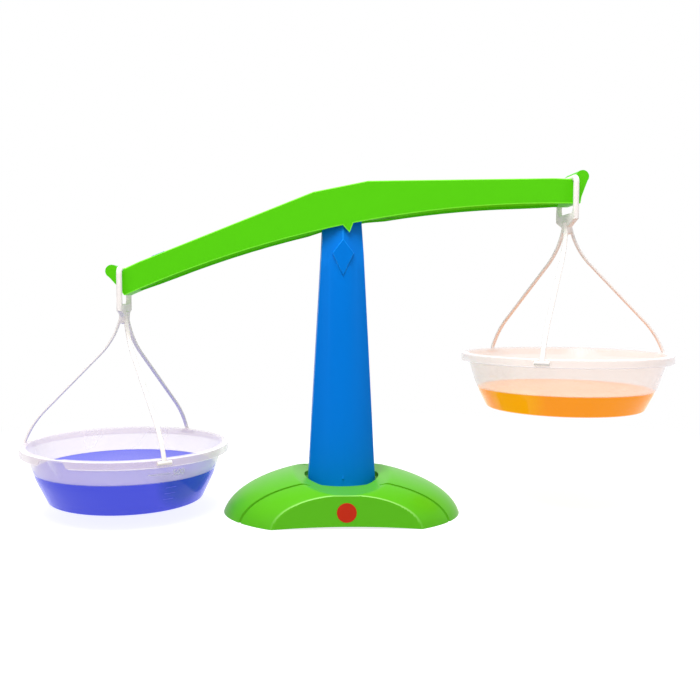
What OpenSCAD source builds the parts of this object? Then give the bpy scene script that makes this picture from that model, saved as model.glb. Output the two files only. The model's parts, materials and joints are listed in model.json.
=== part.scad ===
// Bucket balance for classroom and nursery play.
// Millimetres, +Z up. The origin is the middle of the base's underside,
// +X runs to the right along the beam and +Y away from the front face.
// The beam is drawn tipped to its left-hand stop.

/* [Base] */
// Length of the base at the table
base_length = 197; // [180:1:230]
// Distance between the flat front and rear faces
base_depth = 121; // [110:1:135]
// Depth that the dome would have without its flat faces
dome_depth = 150; // [140:1:170]
// Height that the dome would have without its recess
dome_height = 39; // [36:1:46]
// How far the centre of the dome's end curve lies below the table
dome_sink = 6; // [2:0.5:10]
// Wall of the base moulding
base_wall = 2.4; // [1.6:0.1:3.2]
// Radius of the round recess for the column foot
recess_r = 37.5; // [34:0.5:42]
// Height of the recess floor above the table
recess_floor = 24.5; // [22:0.5:26]
// Height of the hollows in front of and behind the recess
hollow_floor = 26.5; // [26:0.25:30]
// Width of those hollows where they reach the shoulders
hollow_width = 66; // [56:1:76]
// How high the shoulders stand over the hollows
hollow_rise = 6.8; // [4:0.2:9]
// Distance of each long groove from the middle of the base
groove_y = 39.5; // [34:0.5:48]
// Width of the grooves
groove_width = 0.9; // [0.5:0.1:1.6]
// Depth of the grooves
groove_depth = 1.2; // [0.6:0.1:1.6]
// Lift of the front and rear edges between their corners
edge_lift = 2.2; // [1:0.1:3]
// How far the moulding's rim stays above the plate's underside
rim_lift = 0.3; // [0.1:0.05:0.6]

/* [Base plate and screws] */
// Thickness of the plate that closes the base
plate_thickness = 3; // [2.5:0.1:4]
// Depth of the plate from front to rear
plate_depth = 100; // [80:1:104]
// Gap round the plate's ends
plate_gap = 0.4; // [0.2:0.1:1]
// Distance between the plate screws along the base
plate_screw_x = 120; // [100:1:130]
// Distance between the plate screws across the base
plate_screw_y = 60; // [44:1:66]
// Radius of the screw shanks
screw_r = 1.75; // [1.4:0.05:2.2]
// Radius of the screw heads
screw_head_r = 3.6; // [3:0.1:4.4]
// Height of the screw heads
screw_head_h = 1.6; // [1.2:0.1:2]
// Radius of the bosses that the screws cut into
boss_r = 4.5; // [3.8:0.1:6]
// Length of a column screw under its head
column_screw_length = 16; // [12:1:20]
// Length of a plate screw under its head
plate_screw_length = 10; // [8:1:14]
// Distance between the two column screws
column_screw_spacing = 28; // [22:1:32]

/* [Badge] */
// Radius of the round badge
badge_r = 7.7; // [5:0.1:9]
// Height of the badge's centre above the table
badge_z = 13.2; // [11:0.2:15]
// Depth of the badge's seat
badge_seat = 0.6; // [0.4:0.1:1.2]
// How far the badge stands proud
badge_proud = 0.2; // [0:0.1:0.5]

/* [Column] */
// Width of the column at its foot
foot_width = 56; // [52:0.5:60]
// Width of the column at the top of its tapered face
neck_width = 33.4; // [31:0.2:35]
// Height of the neck width above the table
neck_z = 225; // [221:1:227]
// Distance of the foot's front from the middle
foot_front = 20; // [18:0.5:23]
// Distance of the neck's front from the middle
neck_front = 14; // [13.6:0.1:15]
// How far behind the middle the front curve is centred
curve_set_back = 15; // [12:0.5:18]
// Wall of the column
column_wall = 2.4; // [1.8:0.1:3]
// Height of the ridge where the head starts to lean back
ridge_z = 224.3; // [222:0.2:226]
// Height of that crease at the column's sides
crease_side_z = 213.5; // [211:0.2:216]
// Distance of the head's front from the middle, inside the beam
head_front = 10; // [9.6:0.1:10.2]
// Width of the raised diamond
diamond_width = 17.4; // [14:0.2:19]
// Height of the diamond's lower point above the table
diamond_low = 196; // [194:0.5:202]
// Height of the diamond's side points
diamond_mid = 214.3; // [211:0.5:217]
// Height of the diamond's upper point
diamond_top = 225.6; // [224:0.5:228.5]
// How far the diamond stands out of the neck
diamond_proud = 1.3; // [0.8:0.1:1.8]

/* [Fulcrum] */
// Height of the pivot above the table
pivot_z = 257; // [256:0.5:259]
// Tilt of the beam at either stop
stop_tilt = 11.4; // [9:0.1:12]
// Radius of the fulcrum pin
pin_r = 2.5; // [2:0.05:3]
// Running clearance of the pin in its bearings
pin_clearance = 0.05; // [0.02:0.01:0.1]
// Width of a bearing
bearing_width = 14; // [12:0.5:16]
// Thickness of a bearing
bearing_thickness = 3; // [2.4:0.1:3.4]
// Depth of a bearing below the pivot
bearing_depth = 9; // [7:0.5:11]
// Distance of a bearing's inner face from the middle
bearing_y = 5.2; // [4.6:0.1:5.4]
// Clearance of a bearing in its pocket
bearing_gap = 0.1; // [0.05:0.05:0.2]

/* [Beam] */
// Depth of the beam from front to rear
beam_depth = 29; // [28:0.2:31]
// Wall of the beam
beam_wall = 2.3; // [1.8:0.1:2.6]
// Height of the beam's top above the pivot
beam_rise = 11; // [10.4:0.1:12.5]
// Length of the flat middle of the top
flat_length = 45.2; // [40:0.5:52]
// Angle of each arm's top below the flat
arm_angle = 10.4; // [9:0.1:11]
// Depth of the beam's underside below the pivot, at the middle
belly_drop = 19.7; // [19:0.1:21]
// Radius of the curved underside
belly_r = 860; // [800:10:1000]
// Distance of each hook from the pivot along the beam
hook_x = 187; // [180:0.5:195]
// Depth of each hook below the pivot
hook_drop = 19.2; // [18.4:0.1:20]
// Length of the shoulder that slopes down to each hook
shoulder_length = 15.5; // [12:0.5:18]
// Radius of the horn outside each hook
horn_r = 5.2; // [4.4:0.1:6]
// How far the hook's seat cuts into the horn
horn_bite = 0.4; // [0.2:0.05:0.8]
// Height of the horn's centre above the hook
horn_up = -0.3; // [-1:0.1:1]
// Distance of the beam's lower corner outside the hook
corner_out = 1.2; // [0.4:0.1:2.5]
// Length of solid beam inside each hook
end_block = 8.5; // [7:0.5:11]
// Distance between the cross ribs inside the beam
rib_pitch = 30; // [26:1:34]
// Thickness of a cross rib
rib_thickness = 1.8; // [1.2:0.1:2.4]
// How far the ribs stay above the underside
rib_recess = 3; // [2:0.5:6]
// Half width of the pointer under the beam
pointer_half = 4.4; // [3.5:0.1:6]
// Length of the pointer
pointer_length = 7; // [4:0.2:7.6]
// Thickness of the pointer
pointer_thickness = 1.4; // [1:0.1:1.6]

/* [Zero slider] */
// Distance of the slider's middle position from the pivot
slider_x = 156; // [144:1:157]
// Travel of the slider either way
slider_travel = 10; // [6:0.5:11]
// Length of the slider's cap
slider_length = 11.5; // [9:0.5:13]
// Width of the slider's cap
slider_width = 12; // [9:0.5:16]
// Thickness of the cap and of the foot
slider_plate = 1; // [0.8:0.1:1.4]
// Width of the slider's neck
slider_neck = 3; // [2:0.1:4]
// Length of the slider's neck
slider_neck_length = 7; // [5:0.5:8]
// Sliding gap between the slider and the beam
slider_gap = 0.2; // [0.1:0.05:0.3]

/* [Hangers] */
// Radius of the hanger's top bar and of its side bars
bar_r = 2.3; // [1.8:0.05:2.6]
// Clearance between the top bar and its hook
hook_clearance = 0.06; // [0.03:0.01:0.1]
// Distance between the centres of the side bars
stirrup_depth = 40; // [38:0.1:43]
// Radius of the stirrup's upper corners
stirrup_corner = 4; // [3:0.1:4.2]
// Depth of the window's bottom below the hook
window_drop = 28; // [27.5:0.25:31]
// Radius of the window's lower corners
window_r = 4; // [2:0.25:6]
// Depth at which the web starts to narrow
web_drop = 33.5; // [32:0.25:35]
// Depth of the web's lower edge
web_end_drop = 38.5; // [37:0.25:41]
// Half width of the web's lower edge
web_end_half = 8.5; // [6:0.25:12]
// Radius of the hub under the web
hub_r = 4.5; // [4.2:0.1:6]
// Depth of the hub's end
hub_drop = 44.6; // [43:0.2:46]
// Width of a strap
strap_width = 3.6; // [2.8:0.1:4.4]
// Thickness of a strap
strap_thickness = 2; // [1.6:0.1:2.4]
// Distance of each strap's root from the hub's centre
strap_root_r = 3.3; // [2.6:0.1:3.8]
// Depth of the straps' roots
strap_root_drop = 39.5; // [39:0.25:41]
// Angle of the straps from the vertical at their roots
strap_root_angle = 14; // [10:0.5:18]
// Radius of the straps' upper bend
upper_bend_r = 65; // [50:1:75]
// Angle of the straps' straight run from the vertical
strap_angle = 44.8; // [43:0.1:47]
// Radius of the straps' lower bend
lower_bend_r = 75; // [55:1:80]
// Angle of the straps from the vertical just above the rim
strap_foot_angle = 20; // [14:0.5:24]
// Radius of the straps' last bend, into the rim
foot_bend_r = 7; // [5:0.5:9]
// Length of the cross bar at a strap's end
tee_length = 11.5; // [9:0.5:14]
// Radius of the cross bar
tee_r = 1.6; // [1.2:0.1:2]
// Turn of the left pan's first strap from the front
left_turn_angle = 30; // [0:1:60]
// Turn of the right pan's first strap from the front
right_turn_angle = -30; // [-60:1:0]

/* [Pans] */
// Outer radius of the rim
rim_r = 84.7; // [82:0.1:87]
// Height of the skirt under the rim
skirt_height = 6.6; // [6:0.1:8]
// Thickness of the skirt
skirt_wall = 1.3; // [1:0.1:1.8]
// Thickness of the pan
pan_wall = 1.5; // [1.2:0.1:2]
// Height of a pan
pan_height = 46.4; // [44:0.2:50]
// Width of the flat rim outside the bowl
rim_width = 4.1; // [3.8:0.1:5]
// Slope of the bowl's side from the vertical
bowl_slope = 17; // [14:0.5:19]
// Depth below the rim at which the side leans in further
lean_drop = 26; // [22:0.5:30]
// Slope of the bowl's side below that depth
lower_slope = 26; // [22:0.5:30]
// Outer radius of the soft bend between the two slopes
bowl_bend_r = 50; // [30:1:60]
// Outer radius of the curve between the side and the floor
bowl_curve_r = 4.6; // [3.4:0.2:8]
// Clearance of a strap and its cross bar in the skirt's notch
notch_gap = 0.3; // [0.2:0.05:0.6]
// Play between the rim and the cross bars that carry it
rest_gap = 0.05; // [0.02:0.01:0.2]
// Radius of the pouring spout at the rim
spout_r = 13; // [10:0.5:15]
// Depth of the pouring spout
spout_drop = 22; // [18:0.5:26]
// Distance of the left spout from the front
left_spout_angle = -30; // [-60:1:-5]
// Distance of the right spout from the front
right_spout_angle = 150; // [125:1:180]

/* [Hidden] */
$fn = 96;
overrun = 1;
sliver = 0.01;

// Dome of the base
dome_sides = 48;
dome_level_shares = [0, 0.1, 0.22, 0.35, 0.48, 0.6, 0.71, 0.8, 0.88, 0.94, 0.98];
side_power = 3;
side_root = 0.4;
sink_share = dome_sink / (dome_height + dome_sink);
dome_a = base_length / 2 / sqrt(1 - sink_share * sink_share);
dome_c = dome_depth / 2;
hollow_r = (hollow_width * hollow_width / 4 + hollow_rise * hollow_rise) / (2 * hollow_rise);
corner_x = dome_a * sqrt(1 - pow(base_depth / dome_depth, 2));
lift_r = (corner_x * corner_x + edge_lift * edge_lift) / (2 * edge_lift);
recess_slope = hollow_floor - recess_floor;
plate_share = (plate_thickness + dome_sink) / (dome_height - base_wall + dome_sink);
plate_a = (dome_a - base_wall) * sqrt(1 - plate_share * plate_share) - plate_gap;
plate_c = (dome_c - base_wall) * pow(1 - pow(plate_share, side_power), side_root) - plate_gap;
screw_hole_r = screw_r + 0.02 * screw_r;

// Column
side_taper = (foot_width - neck_width) / 2 / (neck_z - recess_floor);
function half_width(z) = foot_width / 2 - side_taper * (z - recess_floor);
function front_r(z) = curve_set_back + foot_front
    - (foot_front - neck_front) * (z - recess_floor) / (neck_z - recess_floor);
beam_ceiling = beam_rise - beam_wall;
stop_gap = 0.3;
head_top = ((beam_ceiling - stop_gap) - half_width(pivot_z) * sin(stop_tilt)) / cos(stop_tilt);
head_base_z = neck_z + (pivot_z - neck_z) / 2;
ridge_lean = (neck_front - head_front) / (head_base_z - ridge_z + column_wall);
crease_edge_y = sqrt(pow(front_r(crease_side_z), 2) - pow(half_width(crease_side_z), 2))
    - curve_set_back;
crease_turn = (neck_front - crease_edge_y + ridge_lean * (ridge_z - crease_side_z))
    / half_width(crease_side_z);
cavity_top = ridge_z - column_wall;
slot_gap = 0.6;
slot_half = pin_r + slot_gap;
boss_height = column_screw_length + column_wall;
drop_r = 1.3;
drop_z = recess_floor + 2.6 * column_wall;

// Beam, in its own frame with the pivot at the origin
flat_half = flat_length / 2;
arm_slope = tan(arm_angle);
function top_z(x) = beam_rise - max(0, abs(x) - flat_half) * arm_slope;
function belly_z(x) = sqrt(belly_r * belly_r - x * x) - belly_r - belly_drop;
shoulder_x = hook_x - shoulder_length;
saddle_r = bar_r + hook_clearance;
horn_x = hook_x + saddle_r + horn_r - horn_bite;
horn_z = -hook_drop + horn_up;
corner_x_beam = hook_x + corner_out;
horn_edge_angle = 35;
horn_edge_r = 0.94 * horn_r;
pointer_root = pointer_half * (1 + beam_wall / 2 / pointer_length);
end_x = hook_x - end_block;
inner_half = beam_depth / 2 - beam_wall;
pin_boss_r = 2 * pin_r;
pin_boss_gap = 0.6;
rib_start = 1.15 * rib_pitch;
bend_x = shoulder_x - beam_wall / 2;
foot_length = slider_neck_length + 4 * slider_plate;
slider_room = foot_length / 2 + slider_travel + rib_thickness;
pin_cover = 1.2;

// Hangers and pans
strap_s = sin(strap_angle);
strap_c = cos(strap_angle);
strap_end_r = rim_r - 0.1 * strap_thickness;
strap_bends_out = upper_bend_r * (cos(strap_root_angle) - strap_c)
    + lower_bend_r * (cos(strap_foot_angle) - strap_c) + foot_bend_r * (1 - cos(strap_foot_angle));
strap_bends_down = upper_bend_r * (strap_s - sin(strap_root_angle))
    + lower_bend_r * (strap_s - sin(strap_foot_angle)) + foot_bend_r * sin(strap_foot_angle);
strap_run = (strap_end_r - strap_root_r - strap_bends_out) / strap_s;
strap_end_drop = strap_root_drop + strap_bends_down + strap_run * strap_c;
rim_drop = strap_end_drop - pan_wall - rest_gap - tee_r;
strap_lean = foot_bend_r * (1 - cos(strap_foot_angle)) + tan(strap_foot_angle)
    * max(0, pan_wall + rest_gap + tee_r - foot_bend_r * sin(strap_foot_angle));
strap_turns = [0, 120, 240];
bowl_r = rim_r - rim_width;

function arc(cx, cy, r, a0, a1, n) = [for (i = [0:n]) let (a = a0 + (a1 - a0) * i / n)
    [cx + r * cos(a), cy + r * sin(a)]];

// Rotates its children from the beam's own frame to the drawn pose
module on_beam() {
    translate([0, 0, pivot_z])
        rotate([0, -stop_tilt, 0])
            children();
}

// Places its children at the hook on one side, hanging plumb
module at_hook(side) {
    translate([0, 0, pivot_z])
        translate([side * hook_x * cos(stop_tilt) + hook_drop * sin(stop_tilt), 0,
                   side * hook_x * sin(stop_tilt) - hook_drop * cos(stop_tilt)])
            children();
}

// Convex dome, made smaller all round by inset
module dome(inset, low) {
    hull() {
        for (s = dome_level_shares) {
            z = (dome_height - inset) * s;
            t = (z + dome_sink) / (dome_height - inset + dome_sink);
            a = (dome_a - inset) * sqrt(1 - t * t);
            c = (dome_c - inset) * pow(1 - pow(t, side_power), side_root);
            translate([0, 0, z + (s == 0 ? low : 0)])
                linear_extrude(sliver)
                    scale([a, c])
                        circle(1, $fn = dome_sides);
        }
    }
}

// Round hollow that runs from front to rear, with its lowest line at height z
module long_hollow(z, r) {
    translate([0, 0, z + r])
        rotate([90, 0, 0])
            cylinder(r = r, h = base_depth + 2 * overrun, center = true, $fn = 180);
}

module recess(grow) {
    translate([0, 0, recess_floor - grow])
        cylinder(r1 = recess_r - recess_slope + grow, r2 = recess_r + grow, h = recess_slope + grow);
    translate([0, 0, hollow_floor - sliver])
        cylinder(r = recess_r + grow, h = dome_height);
}

module base_shell() {
    color("limegreen")
        difference() {
            intersection() {
                dome(0, 0);
                translate([0, 0, dome_height / 2])
                    cube([base_length + overrun, base_depth, dome_height + overrun], center = true);
            }
            long_hollow(hollow_floor, hollow_r);
            recess(0);
            base_grooves();
            base_inside();
            translate([-base_length, -base_depth, -overrun])
                cube([2 * base_length, 2 * base_depth, overrun + rim_lift]);
            translate([0, 0, edge_lift - lift_r])
                rotate([90, 0, 0])
                    cylinder(r = lift_r, h = base_depth + overrun, center = true, $fn = 360);
            translate([0, -base_depth / 2 + badge_seat, badge_z])
                rotate([90, 0, 0])
                    cylinder(r = badge_r + badge_seat / 10, h = badge_seat + overrun);
            for (side = [-1, 1])
                translate([side * column_screw_spacing / 2, 0, 0])
                    cylinder(r = screw_hole_r, h = dome_height);
            for (sx = [-1, 1], sy = [-1, 1])
                translate([sx * plate_screw_x / 2, sy * plate_screw_y / 2, 0])
                    cylinder(r = screw_hole_r, h = plate_thickness + plate_screw_length);
        }
}

module base_grooves() {
    difference() {
        for (side = [-1, 1])
            translate([0, side * groove_y, dome_height / 2])
                cube([base_length + overrun, groove_width, dome_height + overrun], center = true);
        dome(groove_depth, -overrun);
    }
}

// Room inside the base, with its screw bosses left standing
module base_inside() {
    difference() {
        intersection() {
            dome(base_wall, -overrun);
            translate([0, 0, dome_height / 2])
                cube([base_length, base_depth - 2 * base_wall, 2 * dome_height], center = true);
        }
        long_hollow(hollow_floor - base_wall, hollow_r + base_wall);
        recess(base_wall);
        for (sx = [-1, 1], sy = [-1, 1])
            translate([sx * plate_screw_x / 2, sy * plate_screw_y / 2, plate_thickness])
                cylinder(r = boss_r, h = dome_height);
    }
}

module base_plate() {
    color("forestgreen")
        difference() {
            intersection() {
                linear_extrude(plate_thickness)
                    polygon([for (i = [1:dome_sides]) let (turn = 360 * i / dome_sides)
                             [plate_a * cos(turn), plate_c * sin(turn)]]);
                translate([0, 0, plate_thickness / 2])
                    cube([base_length, plate_depth, plate_thickness], center = true);
            }
            for (sx = [-1, 1], sy = [-1, 1])
                translate([sx * plate_screw_x / 2, sy * plate_screw_y / 2, 0]) {
                    translate([0, 0, -overrun])
                        cylinder(r = screw_hole_r, h = plate_thickness + 2 * overrun);
                    translate([0, 0, -overrun])
                        cylinder(r = screw_head_r + plate_gap, h = screw_head_h + overrun);
                }
        }
}

// Pan-head screw that points up, with its head's upper face at the origin
module screw(length) {
    rotate([180, 0, 0])
        difference() {
            union() {
                cylinder(r = screw_head_r, h = screw_head_h);
                rotate([180, 0, 0])
                    cylinder(r = screw_r, h = length);
            }
            translate([0, 0, screw_head_h])
                for (turn = [0, 90])
                    rotate([0, 0, turn])
                        cube([screw_head_r, screw_r / 2, screw_head_h], center = true);
        }
}

module plate_screws() {
    color("silver")
        for (sx = [-1, 1], sy = [-1, 1])
            translate([sx * plate_screw_x / 2, sy * plate_screw_y / 2, screw_head_h])
                screw(plate_screw_length);
}

module column_screws() {
    color("silver")
        for (side = [-1, 1])
            translate([side * column_screw_spacing / 2, 0, recess_floor - base_wall])
                screw(column_screw_length);
}

module badge() {
    color("crimson")
        translate([0, -base_depth / 2 + badge_seat, badge_z])
            rotate([90, 0, 0])
                cylinder(r = badge_r, h = badge_seat + badge_proud);
}

// Trapezium prism that gives the column its front outline
module column_outline(low, high, inset) {
    rotate([90, 0, 0])
        linear_extrude(4 * foot_front, center = true)
            polygon([[-half_width(low) + inset, low], [half_width(low) - inset, low],
                     [half_width(high) - inset, high], [-half_width(high) + inset, high]]);
}

// Front and rear curves of the column, from height low to height high
module column_curves(low, high, inset) {
    intersection_for(side = [-1, 1])
        translate([0, side * curve_set_back, low])
            cylinder(r1 = front_r(low) - inset, r2 = front_r(high) - inset, h = high - low);
}

// Two facets that lean back from the ridge, seen from the front
module leaning_facets() {
    for (side = [-1, 1])
        mirror([side > 0 ? 0 : 1, 0, 0])
            translate([0, -neck_front, ridge_z])
                rotate([-atan(ridge_lean * cos(atan(crease_turn))), 0, atan(crease_turn)])
                    translate([-foot_width, -foot_width, -foot_width])
                        cube([3 * foot_width, foot_width, 2 * foot_width]);
}

module column() {
    top = pivot_z + head_top;
    color("dodgerblue")
        difference() {
            union() {
                difference() {
                    intersection() {
                        column_outline(recess_floor, head_base_z, 0);
                        column_curves(recess_floor, head_base_z, 0);
                    }
                    intersection() {
                        leaning_facets();
                        mirror([1, 0, 0])
                            leaning_facets();
                    }
                    mirror([0, 1, 0])
                        intersection() {
                            leaning_facets();
                            mirror([1, 0, 0])
                                leaning_facets();
                        }
                }
                intersection() {
                    column_outline(neck_z, top, 0);
                    translate([0, 0, top - (top - head_base_z) / 2])
                        cube([foot_width, 2 * head_front, top - head_base_z + 2 * sliver],
                             center = true);
                }
                diamond();
                foot_drop();
            }
            difference() {
                intersection() {
                    column_outline(recess_floor - overrun, cavity_top, column_wall);
                    column_curves(recess_floor - overrun, cavity_top, column_wall);
                }
                column_bosses();
            }
            translate([0, 0, (cavity_top + head_base_z) / 2])
                cube([neck_width - 4 * column_wall, head_front, head_base_z - cavity_top + overrun],
                     center = true);
            for (side = [-1, 1])
                translate([side * column_screw_spacing / 2, 0, recess_floor - overrun])
                    cylinder(r = screw_hole_r, h = column_screw_length + overrun);
            translate([0, 0, pivot_z])
                rotate([90, 0, 0])
                    cylinder(r = slot_half, h = 4 * head_front, center = true);
            translate([-slot_half, -2 * head_front, pivot_z])
                cube([2 * slot_half, 4 * head_front, head_top + overrun]);
            for (side = [-1, 1])
                translate([0, side * (bearing_y + bearing_thickness / 2), pivot_z])
                    translate([-bearing_width / 2 - bearing_gap,
                               -bearing_thickness / 2 - bearing_gap, -bearing_depth])
                        cube([bearing_width + 2 * bearing_gap, bearing_thickness + 2 * bearing_gap,
                              bearing_depth + head_top + overrun]);
        }
}

// Bosses for the screws from below, joined by a web across the foot
module column_bosses() {
    for (side = [-1, 1])
        translate([side * column_screw_spacing / 2, 0, recess_floor])
            cylinder(r = boss_r, h = boss_height);
    translate([-foot_width / 2, -column_wall / 2, recess_floor])
        cube([foot_width, column_wall, boss_height]);
}

module diamond() {
    face_y = neck_front + diamond_proud;
    translate([0, -face_y + neck_front / 2, 0])
        rotate([90, 0, 0])
            linear_extrude(neck_front / 2)
                polygon([[0, diamond_low], [diamond_width / 2, diamond_mid],
                         [0, diamond_top], [-diamond_width / 2, diamond_mid]]);
}

// Small raised drop over the foot
module foot_drop() {
    translate([0, -(front_r(drop_z) - curve_set_back) + drop_r / 2, drop_z]) {
        sphere(drop_r, $fn = 24);
        cylinder(r1 = drop_r, r2 = drop_r / 4, h = 3 * drop_r, $fn = 24);
    }
}

module bearing(side) {
    color("ivory")
        difference() {
            translate([-bearing_width / 2, side * (bearing_y + bearing_thickness / 2)
                       - bearing_thickness / 2, pivot_z - bearing_depth])
                cube([bearing_width, bearing_thickness, bearing_depth + head_top]);
            translate([0, 0, pivot_z])
                rotate([90, 0, 0])
                    cylinder(r = pin_r + pin_clearance, h = 4 * head_front, center = true);
            translate([-pin_r - pin_clearance, -2 * head_front, pivot_z])
                cube([2 * (pin_r + pin_clearance), 4 * head_front, head_top + overrun]);
        }
}

module front_bearing() {
    bearing(-1);
}

module rear_bearing() {
    bearing(1);
}

module fulcrum_pin() {
    color("silver")
        on_beam()
            translate([0, beam_depth / 2 - pin_cover / 2, 0])
                rotate([90, 0, 0])
                    cylinder(r = pin_r, h = beam_depth - 1.5 * pin_cover);
}

// One half of the beam's side outline, from the middle to the right-hand horn
module beam_half_outline() {
    difference() {
        union() {
            polygon([[0, beam_rise], [flat_half, beam_rise], [shoulder_x, top_z(shoulder_x)],
                     [hook_x - 1.5 * saddle_r, -hook_drop],
                     [horn_x, horn_z],
                     [horn_x + horn_edge_r * cos(horn_edge_angle),
                      horn_z - horn_edge_r * sin(horn_edge_angle)],
                     [corner_x_beam + 2 * corner_out, belly_z(corner_x_beam) + horn_r],
                     [corner_x_beam, belly_z(corner_x_beam) - corner_out],
                     [corner_x_beam - corner_out, 2 * belly_z(corner_x_beam)],
                     [0, 2 * belly_z(corner_x_beam)]]);
            translate([horn_x, horn_z])
                circle(horn_r);
        }
        translate([hook_x, -hook_drop])
            circle(saddle_r);
        translate([0, -belly_drop - belly_r])
            circle(belly_r, $fn = 720);
    }
}

// Hollow of the beam in side view, one half, with the cross ribs left standing
module channel_half(open_top) {
    difference() {
        polygon([[-sliver, beam_ceiling], [flat_half, beam_ceiling],
                 [bend_x, top_z(bend_x) - beam_wall], [end_x, top_z(end_x) - 2.6 * beam_wall],
                 [end_x, 2 * belly_z(end_x)], [-sliver, 2 * belly_z(end_x)]]);
        for (x = [rib_start:rib_pitch:end_x - rib_pitch / 2])
            translate([x - rib_thickness / 2, belly_z(x) + rib_recess])
                square([rib_thickness, open_top && x > slider_x - slider_room
                        ? top_z(x) - belly_z(x) - rib_recess - 2.5 * beam_wall : beam_depth]);
    }
}

module beam_channel() {
    rotate([90, 0, 0])
        linear_extrude(2 * inner_half, center = true) {
            channel_half(false);
            mirror([1, 0])
                channel_half(true);
        }
}

module beam_shape() {
    difference() {
        rotate([90, 0, 0])
            linear_extrude(beam_depth, center = true)
                for (side = [0, 1])
                    mirror([side, 0])
                        beam_half_outline();
        beam_channel();
    }
    for (side = [0, 1])
        mirror([0, side, 0])
            translate([0, -inner_half - beam_wall / 2, 0])
                rotate([-90, 0, 0])
                    cylinder(r = pin_boss_r,
                             h = inner_half + beam_wall / 2 - head_front - pin_boss_gap);
    translate([0, -beam_depth / 2 + pointer_thickness, 0])
        rotate([90, 0, 0])
            linear_extrude(pointer_thickness)
                polygon([[-pointer_root, -belly_drop + beam_wall / 2],
                         [pointer_root, -belly_drop + beam_wall / 2],
                         [0, -belly_drop - pointer_length]]);
}

module beam() {
    slot_length = slider_neck_length + 2 * slider_travel + 2 * slider_gap;
    color("limegreen")
        on_beam()
            difference() {
                beam_shape();
                translate([0, beam_depth / 2 + overrun, 0])
                    rotate([90, 0, 0])
                        cylinder(r = pin_r + sliver, h = beam_depth + overrun - pin_cover);
                at_slider()
                    cube([slot_length, slider_neck + 2 * slider_gap, 3 * beam_wall], center = true);
            }
}

// Frame on the left arm's top, with X along the arm
module at_slider() {
    translate([-slider_x, 0, top_z(slider_x)])
        rotate([0, -arm_angle, 0])
            children();
}

module zero_slider() {
    skin = beam_wall * cos(arm_angle);
    color("mediumblue")
        on_beam()
            at_slider() {
                translate([0, 0, slider_gap + slider_plate / 2])
                    cube([slider_length, slider_width, slider_plate], center = true);
                translate([0, 0, -skin / 2])
                    cube([slider_neck_length, slider_neck, skin + 2 * slider_gap + slider_plate],
                         center = true);
                translate([0, 0, -skin - slider_gap - slider_plate / 2])
                    cube([foot_length, slider_width, slider_plate], center = true);
            }
}

// Stirrup that hangs on a hook, in the plane across the beam
module stirrup() {
    straight = stirrup_depth / 2 - stirrup_corner;
    web_half = stirrup_depth / 2 + 0.9 * bar_r;
    rotate([90, 0, 0])
        cylinder(r = bar_r, h = 2 * straight, center = true, $fn = 48);
    for (side = [0, 1])
        mirror([0, side, 0]) {
            translate([0, straight, -stirrup_corner])
                rotate([90, 0, 90])
                    rotate_extrude(angle = 90, $fn = 48)
                        translate([stirrup_corner, 0])
                            circle(bar_r, $fn = 48);
            translate([0, stirrup_depth / 2, -web_drop])
                cylinder(r = bar_r, h = web_drop - stirrup_corner, $fn = 48);
        }
    rotate([90, 0, 90])
        linear_extrude(1.8 * bar_r, center = true)
            difference() {
                polygon([[-web_half, -window_drop + window_r], [web_half, -window_drop + window_r],
                         [web_half, -web_drop], [web_end_half, -web_end_drop],
                         [-web_end_half, -web_end_drop], [-web_half, -web_drop]]);
                stirrup_window();
            }
    translate([0, 0, -hub_drop])
        cylinder(r1 = 0.75 * hub_r, r2 = hub_r, h = hub_drop - web_drop, $fn = 48);
}

// Outline of the window between the side bars, open towards the top
module stirrup_window() {
    half = stirrup_depth / 2 - bar_r;
    for (side = [-1, 1])
        translate([side * (half - window_r), window_r - window_drop])
            circle(window_r);
    translate([-half + window_r, -window_drop])
        square([2 * (half - window_r), window_drop]);
    translate([-half, window_r - window_drop])
        square([2 * half, window_drop]);
}

// Centre line of a strap as distance from the axis and height below the hook
function strap_line(offset) =
    let (foot_x = strap_end_r - foot_bend_r,
         lower_x = foot_x + (foot_bend_r - lower_bend_r) * cos(strap_foot_angle),
         lower_y = -strap_end_drop + (foot_bend_r - lower_bend_r) * sin(strap_foot_angle),
         upper_x = strap_root_r + upper_bend_r * cos(strap_root_angle),
         upper_y = -strap_root_drop + upper_bend_r * sin(strap_root_angle))
    concat([[strap_root_r + offset - strap_thickness / 2, -web_end_drop + strap_thickness]],
           arc(upper_x, upper_y, upper_bend_r - offset, 180 + strap_root_angle, 180 + strap_angle, 8),
           arc(lower_x, lower_y, lower_bend_r + offset, strap_angle, strap_foot_angle, 8),
           arc(foot_x, -strap_end_drop, foot_bend_r + offset, strap_foot_angle, 0, 3),
           [[strap_end_r + offset, -strap_end_drop - tee_r / 2]]);

function reversed(list) = [for (i = [len(list) - 1:-1:0]) list[i]];

module strap() {
    rotate([90, 0, 0])
        linear_extrude(strap_width, center = true)
            polygon(concat(strap_line(strap_thickness / 2), reversed(strap_line(-strap_thickness / 2))));
    translate([strap_end_r, 0, -strap_end_drop])
        rotate([90, 0, 0])
            cylinder(r = tee_r, h = tee_length, center = true, $fn = 32);
}

module hanger(turn) {
    stirrup();
    for (t = strap_turns)
        rotate([0, 0, turn + t - 90])
            strap();
}

module left_hanger() {
    color("whitesmoke")
        at_hook(-1)
            hanger(left_turn_angle);
}

module right_hanger() {
    color("whitesmoke")
        at_hook(1)
            hanger(right_turn_angle);
}

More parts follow.
